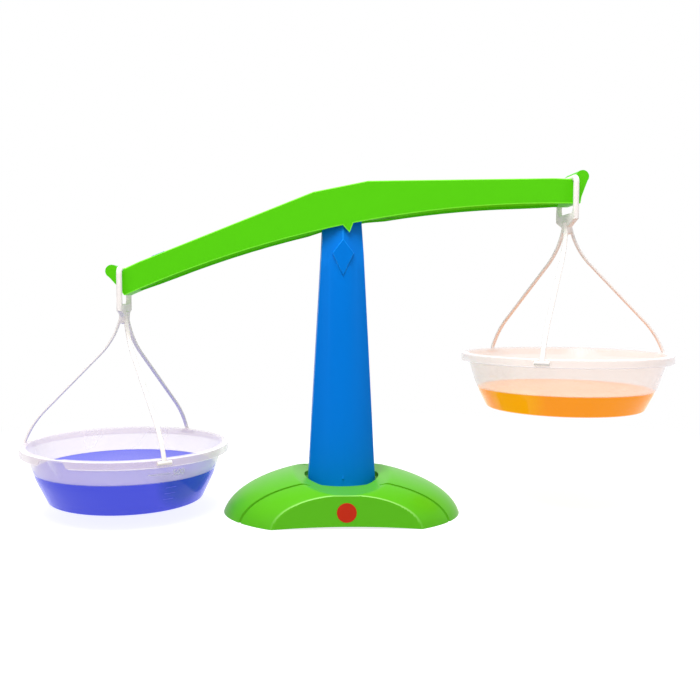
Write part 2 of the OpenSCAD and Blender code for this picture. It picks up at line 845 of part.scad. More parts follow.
// Half section of a bowl whose outer skin is pulled in by inset, up to height top
function bowl_section(inset, top) =
    let (lean_r = bowl_r - lean_drop * tan(bowl_slope),
         bend_turn = (bowl_slope + lower_slope) / 2,
         bend_reach = bowl_bend_r / cos((lower_slope - bowl_slope) / 2),
         bend_cx = lean_r - bend_reach * cos(bend_turn),
         bend_cz = -lean_drop + bend_reach * sin(bend_turn),
         cz = -pan_height + bowl_curve_r,
         cx = lean_r + (cz + lean_drop) * tan(lower_slope) - bowl_curve_r / cos(lower_slope))
    concat([[0, -pan_height + inset]],
           arc(cx, cz, bowl_curve_r - inset, -90, -lower_slope, 6),
           arc(bend_cx, bend_cz, bowl_bend_r - inset, -lower_slope, -bowl_slope, 3),
           [[bowl_r - inset / cos(bowl_slope) + top * tan(bowl_slope), top], [0, top]]);

module pan_shell(inset, top) {
    rotate_extrude($fn = 180)
        polygon(bowl_section(inset, top));
}

// Cone that bulges through the bowl's side under the rim
module spout(inset) {
    translate([0, -rim_r + spout_r - inset / 2, 0])
        mirror([0, 0, 1])
            cylinder(r1 = spout_r - inset, r2 = sliver, h = spout_drop - inset, $fn = 72);
}

// Notch in the rim for a strap, and the window in the skirt for its cross bar
module strap_notch() {
    notch_r = strap_end_r - strap_lean - strap_thickness / 2 / cos(strap_foot_angle) - notch_gap;
    translate([notch_r, -strap_width / 2 - notch_gap, -pan_wall - tee_r])
        cube([strap_end_r, strap_width + 2 * notch_gap, pan_wall + tee_r + overrun]);
    translate([strap_end_r - tee_r - notch_gap, -tee_length / 2 - notch_gap,
               -pan_wall - rest_gap - 2 * tee_r - notch_gap])
        cube([strap_end_r, tee_length + 2 * notch_gap, 2 * tee_r + rest_gap + notch_gap]);
}

module pan(turn, spout_turn) {
    difference() {
        union() {
            pan_shell(0, 0);
            translate([0, 0, -pan_wall])
                cylinder(r = rim_r, h = pan_wall, $fn = 180);
            difference() {
                translate([0, 0, -skirt_height])
                    cylinder(r = rim_r, h = skirt_height, $fn = 180);
                translate([0, 0, -skirt_height - overrun])
                    cylinder(r = rim_r - skirt_wall, h = skirt_height + 2 * overrun, $fn = 180);
                rotate([0, 0, spout_turn])
                    translate([-spout_r, -rim_r - overrun, -skirt_height - overrun])
                        cube([2 * spout_r, rim_r, skirt_height - pan_wall + overrun]);
            }
            rotate([0, 0, spout_turn])
                spout(0);
        }
        rotate([0, 0, spout_turn])
            spout(pan_wall);
        pan_shell(pan_wall, overrun);
        for (t = strap_turns)
            rotate([0, 0, turn + t - 90])
                strap_notch();
    }
}

module left_pan() {
    color("lavender", 0.6)
        at_hook(-1)
            translate([0, 0, -rim_drop])
                pan(left_turn_angle, left_spout_angle);
}

module right_pan() {
    color("lavender", 0.6)
        at_hook(1)
            translate([0, 0, -rim_drop])
                pan(right_turn_angle, right_spout_angle);
}

base_shell();
base_plate();
plate_screws();
column_screws();
badge();
column();
front_bearing();
rear_bearing();
fulcrum_pin();
beam();
zero_slider();
left_hanger();
left_pan();
right_hanger();
right_pan();
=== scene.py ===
"""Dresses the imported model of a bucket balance: moulded green beam and base, blue column, nylon
hangers and milky pans with coloured water, on a pale studio floor."""

import json
import math

import bmesh
import bpy
from mathutils import Matrix, Vector


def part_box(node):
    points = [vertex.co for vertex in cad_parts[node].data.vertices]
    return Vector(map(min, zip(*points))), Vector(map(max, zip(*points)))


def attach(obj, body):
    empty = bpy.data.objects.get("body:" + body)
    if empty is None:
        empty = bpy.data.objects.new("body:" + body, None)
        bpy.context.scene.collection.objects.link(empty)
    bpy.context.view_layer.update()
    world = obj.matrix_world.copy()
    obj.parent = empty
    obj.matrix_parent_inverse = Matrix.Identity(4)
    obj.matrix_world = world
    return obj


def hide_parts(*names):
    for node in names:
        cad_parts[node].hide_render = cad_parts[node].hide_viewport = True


bl_info = {
    "name": "Bucket balance",
    "version": (1, 0, 0),
    "blender": (4, 5, 0),
    "location": "3D View > Sidebar > Balance",
    "description": "Builds the looks of a bucket balance round its packed model",
    "category": "Object",
}

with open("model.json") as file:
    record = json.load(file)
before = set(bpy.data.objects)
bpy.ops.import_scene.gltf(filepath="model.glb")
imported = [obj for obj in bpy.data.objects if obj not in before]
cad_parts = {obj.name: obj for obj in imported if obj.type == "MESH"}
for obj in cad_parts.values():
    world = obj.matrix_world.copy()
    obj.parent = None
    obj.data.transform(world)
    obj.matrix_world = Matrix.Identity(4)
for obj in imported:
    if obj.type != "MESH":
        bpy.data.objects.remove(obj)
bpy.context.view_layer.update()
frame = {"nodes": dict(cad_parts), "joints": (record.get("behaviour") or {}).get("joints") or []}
NODES = frame["nodes"]
JOINTS = {joint["name"]: joint for joint in frame["joints"]}
SIDES = ("left", "right")
MM = 0.001
FULL_TURN = 2 * math.pi
WHITE = (1.0, 1.0, 1.0)
# White for the pans' look at grazing angles and their painted rim highlights
SHEEN_AND_HIGHLIGHT_WHITE = (0.93, 0.90, 0.95)

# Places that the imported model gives
PIVOT = Vector(JOINTS["beam_tilt"]["pos_m"])
HOOKS = {side: Vector(JOINTS[side + "_hang"]["pos_m"]) for side in SIDES}
PAN_BOX = {side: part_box(side + "_pan") for side in SIDES}
RIM_R = {side: (high.x - low.x) / 2 for side, (low, high) in PAN_BOX.items()}
RIM_MIDDLE = {side: Vector((HOOKS[side].x, HOOKS[side].y, PAN_BOX[side][1].z)) for side in SIDES}
BASE_LOW, BASE_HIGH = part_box("base_shell")
BASE_HALF = (BASE_HIGH.x - BASE_LOW.x) / 2
BASE_FACE = (BASE_HIGH.y - BASE_LOW.y) / 2
BEAM_LOW, BEAM_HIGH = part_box("beam")
BEAM_FACE = (BEAM_HIGH.y - BEAM_LOW.y) / 2

# Turns from the front towards +X, of a hanger's first strap and of a pan's spout
STRAPS = 3
STRAP_TURN = {"left": math.radians(30.0), "right": math.radians(-30.0)}
SPOUT_TURN = {"left": math.radians(-30.0), "right": math.radians(150.0)}

# Graduations: degrees from the marked side's middle, then depth, width and height in millimetres
MARKED_SIDE = {"left": 0.0, "right": 180.0}
LONG_LINE = (29.0, 13.2, 17.0, 0.7)
SHORT_LINES = [(38.0, drop, 9.0, 0.45) for drop in (25.0, 30.0, 35.0)]
NUMBER, NUMBER_TURN, NUMBER_DROP, NUMBER_HEIGHT = "500", 41.5, 15.5 * MM, 5.0 * MM

# A graduation's section, as shares of its height and of its relief
MARK_SECTION = ((-0.5, -0.2), (-0.35, 1.0), (0.35, 1.0), (0.5, -0.2))

# How far the water's deeper colour lies from the rim's middle, in millimetres
DEEP_PLACE = {"left": (55.0, -45.0, -18.0), "right": (-60.0, -45.0, -35.0)}

# The water's raised edge: steps out from its edge and over its surface, in millimetres
WATER_EDGE = ((0.0, 0.35), (-0.6, 0.12), (-1.8, 0.0))

# Powers of the dome's cross section, across it and upwards
DOME_SIDE, DOME_CROWN = 2.5, 3

# How finely the curved pieces are cut
DOME_AROUND, DOME_LEVELS = 360, 84
RECESS_AROUND, GROOVE_STEPS = 192, 72
PAN_AROUND, WALL_LEVELS, CURVE_STEPS = 180, 14, 9
SPOUT_SPAN, SPOUT_STEP = 13.0, 0.5
BAR_AROUND, TEE_AROUND, BEND_STEPS = 24, 20, 16

# The camera's place in metres, its angles in degrees and its lens in millimetres
CAMERA_PLACE = (-0.04901, -0.67499, 0.17746)
CAMERA_PITCH, CAMERA_YAW = -3.614, -1.432
CAMERA_LENS, CAMERA_SENSOR, CAMERA_SHIFT = 41.83, 36.0, 0.0671
FLOOR_R, FLOOR_Z = 4.0, -0.0002


def give(tree, socket, value):
    """Links an input to value where that is a socket too, and else sets it."""
    if isinstance(value, bpy.types.NodeSocket):
        tree.links.new(value, socket)
    elif socket.type == "RGBA":
        socket.default_value = (*value[:3], 1.0)
    else:
        socket.default_value = value


def add(tree, kind, *values, **named):
    """A new node: named values are its inputs or properties, the others its first inputs."""
    node = tree.nodes.new(kind)
    for key, value in named.items():
        name = key.replace("_", " ")
        if name in node.inputs:
            give(tree, node.inputs[name], value)
        else:
            setattr(node, key, value)
    for socket, value in zip(node.inputs, values):
        give(tree, socket, value)
    return node


def shader(name):
    """A new material, its emptied tree and the socket of the object's own coordinates."""
    material = bpy.data.materials.new(name)
    material.use_nodes = True
    tree = material.node_tree
    tree.nodes.clear()
    return material, tree, add(tree, "ShaderNodeTexCoord").outputs["Object"]


def laid_out(tree, width=220, height=300):
    """Sets the nodes in columns, each to the left of those that it feeds."""
    column = {node.name: 0 for node in tree.nodes}
    for _ in tree.nodes:
        for link in tree.links:
            after = column[link.to_node.name] + 1
            column[link.from_node.name] = max(column[link.from_node.name], after)
    used = [0] * len(tree.nodes)
    for node in tree.nodes:
        place = column[node.name]
        node.location = (-width * place, -height * used[place])
        used[place] += 1


def surfaced(material, node):
    """Makes a node the material's surface."""
    add(material.node_tree, "ShaderNodeOutputMaterial", Surface=node.outputs[0])
    laid_out(material.node_tree)
    return material


def maths(tree, operation, *values, **named):
    """The result of a sum with numbers or number sockets."""
    return add(tree, "ShaderNodeMath", *values, operation=operation, **named).outputs[0]


def vector_maths(tree, operation, *values, result="Vector", **named):
    """The result of a sum with vectors or vector sockets."""
    node = add(tree, "ShaderNodeVectorMath", *values, operation=operation, **named)
    return node.outputs[result]


def noise(tree, place, **named):
    """A cloudy pattern at the places that a socket gives."""
    return add(tree, "ShaderNodeTexNoise", Vector=place, **named).outputs["Fac"]


def bump(tree, **named):
    """A surface direction that follows a pattern's height."""
    return add(tree, "ShaderNodeBump", **named).outputs["Normal"]


def two_tones(tree, factor, first, second):
    """Mixes two colours, or colour sockets, by a factor socket."""
    tone = add(tree, "ShaderNodeMix", data_type="RGBA")
    for place, value in ((0, factor), (6, first), (7, second)):
        give(tree, tone.inputs[place], value)
    return tone.outputs[2]


def spread(tree, value, low, high, start=0.3, end=0.7):
    """Maps a value socket from start..end to low..high."""
    change = add(tree, "ShaderNodeMapRange", Value=value, From_Min=start, From_Max=end,
                 To_Min=low, To_Max=high)
    return change.outputs["Result"]


def toned(colour, factor):
    """A colour made darker or lighter."""
    return [min(1.0, c * factor) for c in colour]


def moulded_plastic(name, colour, roughness=0.4, gloss=0.3, mottle=0.04, grain=0.05, glow=0.0):
    """Injection-moulded plastic: faint flow marks in the colour, a fine grain and uneven gloss;
    glow makes it glow in its own colour, which is painted light.
    """
    material, tree, place = shader(name)
    flow = noise(tree, place, Scale=9.0, Detail=3.0, Roughness=0.5, Distortion=0.8)
    grains = noise(tree, place, Scale=1400.0, Detail=2.0, Roughness=0.6)
    waves = noise(tree, place, Scale=38.0, Detail=2.0, Roughness=0.45)
    tone = two_tones(tree, flow, toned(colour, 1.0 - mottle), toned(colour, 1.0 + mottle))
    fine = bump(tree, Strength=grain, Distance=0.3 * MM, Height=grains)
    broad = bump(tree, Strength=grain * 0.8, Distance=1.2 * MM, Height=waves, Normal=fine)
    dullness = spread(tree, flow, roughness * 0.9, roughness * 1.1)
    return surfaced(material, add(
        tree, "ShaderNodeBsdfPrincipled", IOR=1.48, Specular_IOR_Level=gloss, Base_Color=tone,
        Emission_Color=tone, Emission_Strength=glow, Roughness=dullness, Normal=broad))


def painted_crest_highlight(material, face, colour):
    """Paints a highlight into a moulded material: a lighter strip where the dome meets its flat
    faces at +/-face, strongest high up and weaker near the table.
    """
    tree = material.node_tree
    body = next(node for node in tree.nodes if node.type == "BSDF_PRINCIPLED")
    plain = body.inputs["Base Color"].links[0].from_socket
    place = add(tree, "ShaderNodeTexCoord").outputs["Object"]
    apart = add(tree, "ShaderNodeSeparateXYZ", place)
    normal = add(tree, "ShaderNodeNewGeometry").outputs["True Normal"]
    lean = add(tree, "ShaderNodeSeparateXYZ", normal)
    depth = maths(tree, "ABSOLUTE", apart.outputs["Y"])
    flat = maths(tree, "ABSOLUTE", lean.outputs["Y"])
    near = spread(tree, depth, 0.0, 1.0, start=face - 1.3 * MM, end=face - 0.4 * MM)
    curved = spread(tree, flat, 1.0, 0.0, start=0.95, end=0.995)
    # Painted highlight: strongest high on the dome, weaker towards the table
    raised = spread(tree, apart.outputs["Z"], 0.15, 0.9, start=4 * MM, end=24 * MM)
    strip = maths(tree, "MULTIPLY", near, curved)
    highlight_share = maths(tree, "MULTIPLY", strip, raised)
    give(tree, body.inputs["Base Color"], two_tones(tree, highlight_share, plain, colour))
    laid_out(tree)


def milky_plastic(name, colour, level, rim, dry=0.30, wet=0.0, edge=0.4):
    """Thin milky polypropylene: clearer where water wets it below level; turning white at grazing
    angles, partly the denser wall seen edge-on and partly a painted sheen; painted highlight lines
    on the rim's edges and a faint glow of painted light; rim gives the rim's middle, its radius and
    the skirt's height."""
    material, tree, place = shader(name)
    flow = noise(tree, place, Scale=14.0, Detail=3.0, Distortion=0.6)
    waves = noise(tree, place, Scale=60.0, Detail=2.0)
    height = add(tree, "ShaderNodeSeparateXYZ", place).outputs["Z"]
    shore = {"start": level - 0.4 * MM, "end": level + 0.2 * MM}
    veil = spread(tree, height, wet, dry, **shore)
    dry_edge = spread(tree, height, 0.25, 1.0, **shore)
    facing = add(tree, "ShaderNodeLayerWeight", Blend=0.5).outputs["Facing"]
    bent = maths(tree, "POWER", facing, 2.5)
    grazing = maths(tree, "MULTIPLY", bent, edge)
    rims = maths(tree, "MULTIPLY", grazing, dry_edge)
    cloud = maths(tree, "ADD", veil, rims, use_clamp=True)
    lines = painted_rim_highlights(tree, place, *rim)
    denser = maths(tree, "MAXIMUM", cloud, lines)
    # Painted highlight and sheen: the colour goes white where the wall turns edge-on and on the rim
    # lines
    white = maths(tree, "MAXIMUM", bent, lines)
    tone = two_tones(tree, flow, toned(colour, 0.97), toned(colour, 1.03))
    tone_with_painted_highlights = two_tones(tree, white, tone, SHEEN_AND_HIGHLIGHT_WHITE)
    dullness = spread(tree, flow, 0.2, 0.3)
    uneven = bump(tree, Strength=0.06, Distance=0.8 * MM, Height=waves)
    # Painted light: the plastic glows faintly in its own colour
    return surfaced(material, add(
        tree, "ShaderNodeBsdfPrincipled", IOR=1.45, Specular_IOR_Level=0.35, Base_Color=tone_with_painted_highlights,
        Emission_Color=tone_with_painted_highlights, Emission_Strength=0.15, Roughness=dullness, Normal=uneven,
        Alpha=denser))


def painted_rim_highlights(tree, place, middle, rim_r, skirt):
    """Mask of painted highlight lines: 1 on the flat rim's outer edge and on the skirt's lower
    edge, else 0.
    """
    moved = vector_maths(tree, "SUBTRACT", place, middle)
    level = vector_maths(tree, "MULTIPLY", moved, (1.0, 1.0, 0.0))
    reach = vector_maths(tree, "LENGTH", level, result="Value")
    height = add(tree, "ShaderNodeSeparateXYZ", moved).outputs["Z"]
    out = spread(tree, reach, 0.0, 1.0, start=rim_r - 1.9 * MM, end=rim_r - 1.5 * MM)
    upper = spread(tree, height, 0.0, 0.85, start=-0.75 * MM, end=-0.45 * MM)
    lower = spread(tree, height, 0.75, 0.0, start=0.45 * MM - skirt, end=0.75 * MM - skirt)
    return maths(tree, "MULTIPLY", out, maths(tree, "MAXIMUM", upper, lower))


def dyed_water(name, colour, deep, centre, glow=0.8, reach=30 * MM):
    """Dyed water: an even body colour, deeper round one place, under a still, glossy surface; its
    light is painted, a glow in its own colour over a dimmed diffuse colour.
    """
    material, tree, place = shader(name)
    ripple = noise(tree, place, Scale=16.0, Detail=1.5)
    away = vector_maths(tree, "DISTANCE", place, centre, result="Value")
    near = spread(tree, away, 1.0, 0.0, start=reach * 0.6, end=reach)
    shade = two_tones(tree, near, colour, deep)
    # Painted light: a dimmed diffuse colour, with the water glowing in its own colour
    dim = vector_maths(tree, "SCALE", shade, Scale=0.35)
    uneven = bump(tree, Strength=0.04, Distance=0.6 * MM, Height=ripple)
    return surfaced(material, add(
        tree, "ShaderNodeBsdfPrincipled", IOR=1.333, Specular_IOR_Level=0.28, Roughness=0.08,
        Base_Color=dim, Emission_Color=shade, Emission_Strength=glow, Normal=uneven))


def brushed_metal(name, colour, roughness=0.28):
    """Zinc-plated steel with faint drawing lines along the piece."""
    material, tree, place = shader(name)
    stretched = add(tree, "ShaderNodeMapping", place, Scale=(1.0, 12.0, 1.0))
    lines = noise(tree, stretched.outputs["Vector"], Scale=500.0, Detail=3.0)
    tone = two_tones(tree, lines, toned(colour, 0.9), colour)
    dullness = spread(tree, lines, roughness * 0.8, roughness * 1.3)
    uneven = bump(tree, Strength=0.06, Distance=0.2 * MM, Height=lines)
    return surfaced(material, add(tree, "ShaderNodeBsdfPrincipled", Metallic=1.0,
                                  Base_Color=tone, Roughness=dullness, Normal=uneven))


def added(name, data):
    """A new object of the scene that holds a mesh, a text, a lamp or a camera."""
    item = bpy.data.objects.new(name, data)
    bpy.context.scene.collection.objects.link(item)
    return item


def smoothed(mesh):
    """The mesh with all its faces shaded smooth."""
    for face in mesh.polygons:
        face.use_smooth = True
    return mesh


def mesh_object(name, data):
    """Turns a bmesh into an object with smooth faces."""
    mesh = bpy.data.meshes.new(name)
    bmesh.ops.recalc_face_normals(data, faces=data.faces)
    data.to_mesh(mesh)
    data.free()
    return added(name, smoothed(mesh))


def applied(item):
    """The mesh that an object shows once its modifiers are applied."""
    bpy.context.view_layer.update()
    seen = item.evaluated_get(bpy.context.evaluated_depsgraph_get())
    return bpy.data.meshes.new_from_object(seen)


def cut_out(piece, cutters):
    """Takes the cutters out of a piece with exact booleans, and deletes them."""
    for cutter in cutters:
        step = piece.modifiers.new("cut", "BOOLEAN")
        step.operation = "DIFFERENCE"
        step.solver = "EXACT"
        step.object = cutter
    mesh = applied(piece)
    piece.modifiers.clear()
    old, piece.data = piece.data, smoothed(mesh)
    bpy.data.meshes.remove(old)
    for cutter in cutters:
        shape = cutter.data
        bpy.data.objects.remove(cutter)
        bpy.data.meshes.remove(shape)
    return piece


def finish(piece, material, body, crease=30.0, replaces=None, edges=None):
    """Sharp creases, a material, one for rounded edges (the callers pass a lighter colour there, a
    painted highlight), a body to ride on and the node it is.
    """
    mesh = piece.data
    mesh.set_sharp_from_angle(angle=math.radians(crease))
    if mesh.materials:
        mesh.materials.clear()
    mesh.materials.append(material)
    if edges:
        mesh.materials.append(edges)
    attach(piece, body)
    if replaces:
        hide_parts(replaces)


def even_shading(piece):
    """Lets the large faces rule the shading, so that narrow roundings don't bend it."""
    weigh = piece.modifiers.new("even shading", "WEIGHTED_NORMAL")
    weigh.keep_sharp = True
    weigh.weight = 80
    return piece


def rounded_edges(data, edges, width, segments, clamp=True, slot=0):
    """Rounds edges of a bmesh off; the roundings take the material slot."""
    bmesh.ops.bevel(data, geom=edges, offset=width, offset_type="OFFSET", segments=segments,
                    profile=0.5, affect="EDGES", clamp_overlap=clamp, loop_slide=True,
                    material=slot)


def rounded_copy(node, width, segments=2, crease=28.0, edge_slot=0, shortest=0.0, outside=None):
    """The node's own shape with its sharp edges rounded off, perhaps in a material of their own.

    With shortest, only edges longer than that are rounded, at the full width; with outside, only
    those on the faces at +/-outside from the middle plane."""
    same_place, same_plane, on_face = 2e-6, math.radians(0.6), 0.02 * MM
    data = bmesh.new()
    data.from_mesh(NODES[node].data)
    for face in data.faces:
        face.material_index = 0
    bmesh.ops.remove_doubles(data, verts=data.verts, dist=same_place)
    bmesh.ops.dissolve_limit(data, angle_limit=same_plane, verts=data.verts, edges=data.edges,
                             delimit=set())
    edges = [edge for edge in data.edges
             if len(edge.link_faces) == 2 and edge.calc_face_angle(0.0) > math.radians(crease)
             and edge.calc_length() > shortest]
    if outside:
        edges = [edge for edge in edges
                 if all(abs(abs(vertex.co.y) - outside) < on_face for vertex in edge.verts)]
    rounded_edges(data, edges, width, segments, clamp=shortest == 0.0, slot=edge_slot)
    return mesh_object(node + "_dressed", data)


def paint(node, material):
    """Gives a CAD node that keeps its own mesh a better material."""
    mesh = NODES[node].data
    mesh.materials.clear()
    mesh.materials.append(material)


def outward(turn):
    """The level direction at a turn from the front towards +X."""
    return Vector((math.sin(turn), -math.cos(turn), 0.0))


def sideways(turn):
    """The level direction across outward(turn)."""
    return Vector((math.cos(turn), math.sin(turn), 0.0))


def upward(height):
    """A step straight up."""
    return Vector((0.0, 0.0, height))


def circle(radius, steps):
    """Points round the origin."""
    turns = [FULL_TURN * i / steps for i in range(steps)]
    return [(radius * math.cos(turn), radius * math.sin(turn)) for turn in turns]


def arc(cx, cz, radius, start, end, steps):
    """Points on an arc, with angles in degrees."""
    turns = [math.radians(start + (end - start) * i / steps) for i in range(steps + 1)]
    return [(cx + radius * math.cos(turn), cz + radius * math.sin(turn)) for turn in turns]


def fillets(corners, steps=6):
    """A closed outline whose corners (x, z, radius) are rounded."""
    outline = []
    for i, (x, z, radius) in enumerate(corners):
        if radius <= 0.0:
            outline.append((x, z))
            continue
        here = Vector((x, z))
        back = (Vector(corners[i - 1][:2]) - here).normalized()
        ahead = (Vector(corners[(i + 1) % len(corners)][:2]) - here).normalized()
        half = back.angle(ahead) / 2.0
        reach = radius / math.tan(half)
        centre = here + (back + ahead).normalized() * (radius / math.sin(half))
        first = here + back * reach - centre
        last = here + ahead * reach - centre
        turn = first.angle_signed(last)
        for k in range(steps + 1):
            spoke = first.copy()
            spoke.rotate(Matrix.Rotation(-turn * k / steps, 2))
            outline.append(tuple(centre + spoke))
    return outline


def pulled_in(outline, distance):
    """The outline moved inwards, for an outline that runs anticlockwise."""
    shortest, sharpest = 1e-9, 0.5
    points = [Vector(point) for point in outline]
    moved = []
    for i, here in enumerate(points):
        a = here - points[i - 1]
        b = points[(i + 1) % len(points)] - here
        if a.length < shortest or b.length < shortest:
            moved.append(tuple(here))
            continue
        a.normalize()
        b.normalize()
        left_a = Vector((-a.y, a.x))
        left_b = Vector((-b.y, b.x))
        middle = (left_a + left_b).normalized()
        moved.append(tuple(here + middle * (distance / max(sharpest, middle.dot(left_a)))))
    return moved


def stacked(data, layers):
    """Joins closed loops of places into a solid with capped ends."""
    loops = [[data.verts.new(place) for place in layer] for layer in layers]
    for low, high in zip(loops, loops[1:]):
        count = len(low)
        for i in range(count):
            data.faces.new((low[i], low[(i + 1) % count], high[(i + 1) % count], high[i]))
    data.faces.new(list(reversed(loops[0])))
    data.faces.new(loops[-1])


def stacked_object(name, layers):
    """A new object made of closed loops of places."""
    data = bmesh.new()
    stacked(data, layers)
    return mesh_object(name, data)


def rounded_prism(data, outline, low, high, edge, place, steps):
    """A plate from low to high, its rims rounded by edge; place turns (u, v, w) into a point."""
    sweep = [math.pi / 2 * k / steps for k in range(steps + 1)]
    stations = [(angle, low, 1.0) for angle in sweep]
    stations += [(angle, high, -1.0) for angle in reversed(sweep)]
    layers = []
    for angle, face, inwards in stations:
        depth = face + inwards * edge * (1.0 - math.cos(angle))
        ring = pulled_in(outline, edge * (1.0 - math.sin(angle)))
        layers.append([place(u, v, depth) for u, v in ring])
    stacked(data, layers)


def swept(data, path, section, side):
    """Sweeps a closed section (across, out) along a path; side is the direction across it."""
    layers = []
    for i, place in enumerate(path):
        ahead = (path[min(i + 1, len(path) - 1)] - path[max(i - 1, 0)]).normalized()
        out = side.cross(ahead).normalized()
        layers.append([place + side * u + out * v for u, v in section])
    stacked(data, layers)


def rounded_section(width, height, radius, steps=4):
    """A rounded rectangle round the origin."""
    w, h = width / 2, height / 2
    return fillets([(-w, -h, radius), (w, -h, radius), (w, h, radius), (-w, h, radius)], steps)


def soft_low(a, b, blend):
    """The lower of two lengths, with a rounded change from one to the other."""
    share = max(0.0, min(1.0, 0.5 + 0.5 * (b - a) / blend))
    return b * (1.0 - share) + a * share - blend * share * (1.0 - share)


def arch_radius(width, rise):
    """Radius of an arch of this width that rises by rise in its middle."""
    return (width ** 2 / 4 + rise ** 2) / (2 * rise)


def dome_swell(level):
    """The dome's depth at a level from 0 to 1, as a share of its depth at its centre."""
    return (1.0 - level ** DOME_CROWN) ** (1 / DOME_SIDE)


def base_skin(sizes, inset):
    """Rings of places on the base's skin from the table up, and at each turn the ring that lies
    on a flat face's rim, or -1 or less."""
    top = sizes.dome_height + sizes.dome_sink
    low = math.asin(sizes.dome_sink / top)
    long_half = BASE_HALF / math.cos(low) - inset
    deep_half = sizes.dome_depth / 2 - inset
    face = BASE_FACE - inset
    corner = long_half * math.sqrt(max(0.0, 1.0 - (face / deep_half) ** 2))
    lift_r = arch_radius(2 * corner, sizes.edge_lift)
    hollow_r = arch_radius(sizes.hollow_width, sizes.hollow_rise)
    step = (math.pi / 2 - low) / DOME_LEVELS
    crossings = []
    for i in range(DOME_AROUND):
        narrow = face / max(1e-9, deep_half * abs(math.sin(FULL_TURN * i / DOME_AROUND)))
        level = (1.0 - narrow ** DOME_SIDE) ** (1 / DOME_CROWN) if narrow < 1.0 else None
        crossings.append(-1.0 if level is None else math.asin(level))
    rims = [round((latitude - low) / step) for latitude in crossings]

    def place(i, j):
        turn = FULL_TURN * i / DOME_AROUND
        latitude = crossings[i] if j == rims[i] and j > 0 else low + step * j
        level = math.sin(latitude)
        x = long_half * math.cos(latitude) * math.cos(turn)
        y = deep_half * dome_swell(level) * math.sin(turn)
        z = level * (top - inset) - sizes.dome_sink
        if abs(x) < hollow_r:
            hollow = sizes.hollow_floor - inset + hollow_r - math.sqrt(hollow_r ** 2 - x ** 2)
            z = soft_low(z, hollow, sizes.hollow_blend)
        if inset and math.hypot(x, y) < sizes.recess_r + 2 * inset:
            z = min(z, sizes.recess_floor - inset)
        if abs(x) < corner:
            lift = sizes.edge_lift - lift_r + math.sqrt(lift_r ** 2 - x ** 2)
            z += lift * max(0.0, 1.0 - z / (sizes.dome_height / 2))
        return Vector((x, math.copysign(min(abs(y), face), y), max(0.0, z)))

    rings = [[place(i, j) for i in range(DOME_AROUND)] for j in range(DOME_LEVELS)]
    return rings, rims


def base_mesh(sizes):
    """The hollow domed shell, open underneath."""
    data = bmesh.new()
    skin, rims = base_skin(sizes, 0.0)
    lining = base_skin(sizes, sizes.base_wall)[0]
    outer = [[data.verts.new(place) for place in ring] for ring in skin]
    inner = [[data.verts.new(place) for place in ring] for ring in lining]
    rows = list(reversed(inner)) + outer
    rim = {outer[j][i] for i, j in enumerate(rims) if j > 0}
    for low, high in zip(rows, rows[1:]):
        for i in range(DOME_AROUND):
            ahead = (i + 1) % DOME_AROUND
            a, b, c, d = low[i], low[ahead], high[ahead], high[i]
            if a in rim and c in rim:
                faces = ((a, b, c), (a, c, d))
            elif b in rim and d in rim:
                faces = ((a, b, d), (b, c, d))
            else:
                faces = ((a, b, c, d),)
            for corners in faces:
                data.faces.new(corners)
    data.faces.new(rows[0])
    data.faces.new(list(reversed(rows[-1])))
    edges = [edge for edge in data.edges if edge.verts[0] in rim and edge.verts[1] in rim]
    rounded_edges(data, edges, sizes.face_blend, segments=3)
    return mesh_object("domed_base", data)


def recess_cutter(sizes):
    """The round recess for the column, with a narrow sloped seat at its foot."""
    slope = sizes.hollow_floor - sizes.recess_floor
    narrow = sizes.recess_half / sizes.recess_r
    profile = [(sizes.recess_r - slope, sizes.recess_floor), (sizes.recess_r, sizes.hollow_floor),
               (sizes.recess_r, 2 * sizes.dome_height)]
    return stacked_object("recess_cutter", [
        [Vector((narrow * x, y, z)) for x, y in circle(r, RECESS_AROUND)]
        for r, z in profile])


def groove_cutter(sizes, y):
    """A thin sheet that leaves a groove of even depth along the dome."""
    top = sizes.dome_height + sizes.dome_sink
    long_half = BASE_HALF / math.cos(math.asin(sizes.dome_sink / top))
    lowest, span = 4.0, 80.0
    right = []
    for i in range(GROOVE_STEPS + 1):
        latitude = math.radians(lowest + span * i / GROOVE_STEPS)
        level = math.sin(latitude)
        deep = (sizes.dome_depth / 2 - sizes.groove_depth) * dome_swell(level)
        if deep <= abs(y):
            break
        x = (long_half - sizes.groove_depth) * math.cos(latitude) * math.sqrt(1.0 - (y / deep) ** 2)
        right.append((x, level * (top - sizes.groove_depth) - sizes.dome_sink))
    left = [(-x, z) for x, z in reversed(right)]
    far, high = 1.2 * long_half, 1.2 * sizes.dome_height
    outline = [(far, right[0][1])] + right + left + [(-far, left[-1][1]), (-far, high), (far, high)]
    half = sizes.groove_width / 2
    return stacked_object("groove_cutter", [
        [Vector((x, side, z)) for x, z in outline] for side in (y - half, y + half)])


def strap_turns(side):
    """Turns of a hanger's straps from the front."""
    return [STRAP_TURN[side] + third * FULL_TURN / STRAPS for third in range(STRAPS)]


def strap_reach(sizes, side):
    """Distance of a strap's foot from its pan's middle."""
    return RIM_R[side] - 0.1 * sizes.strap_thickness


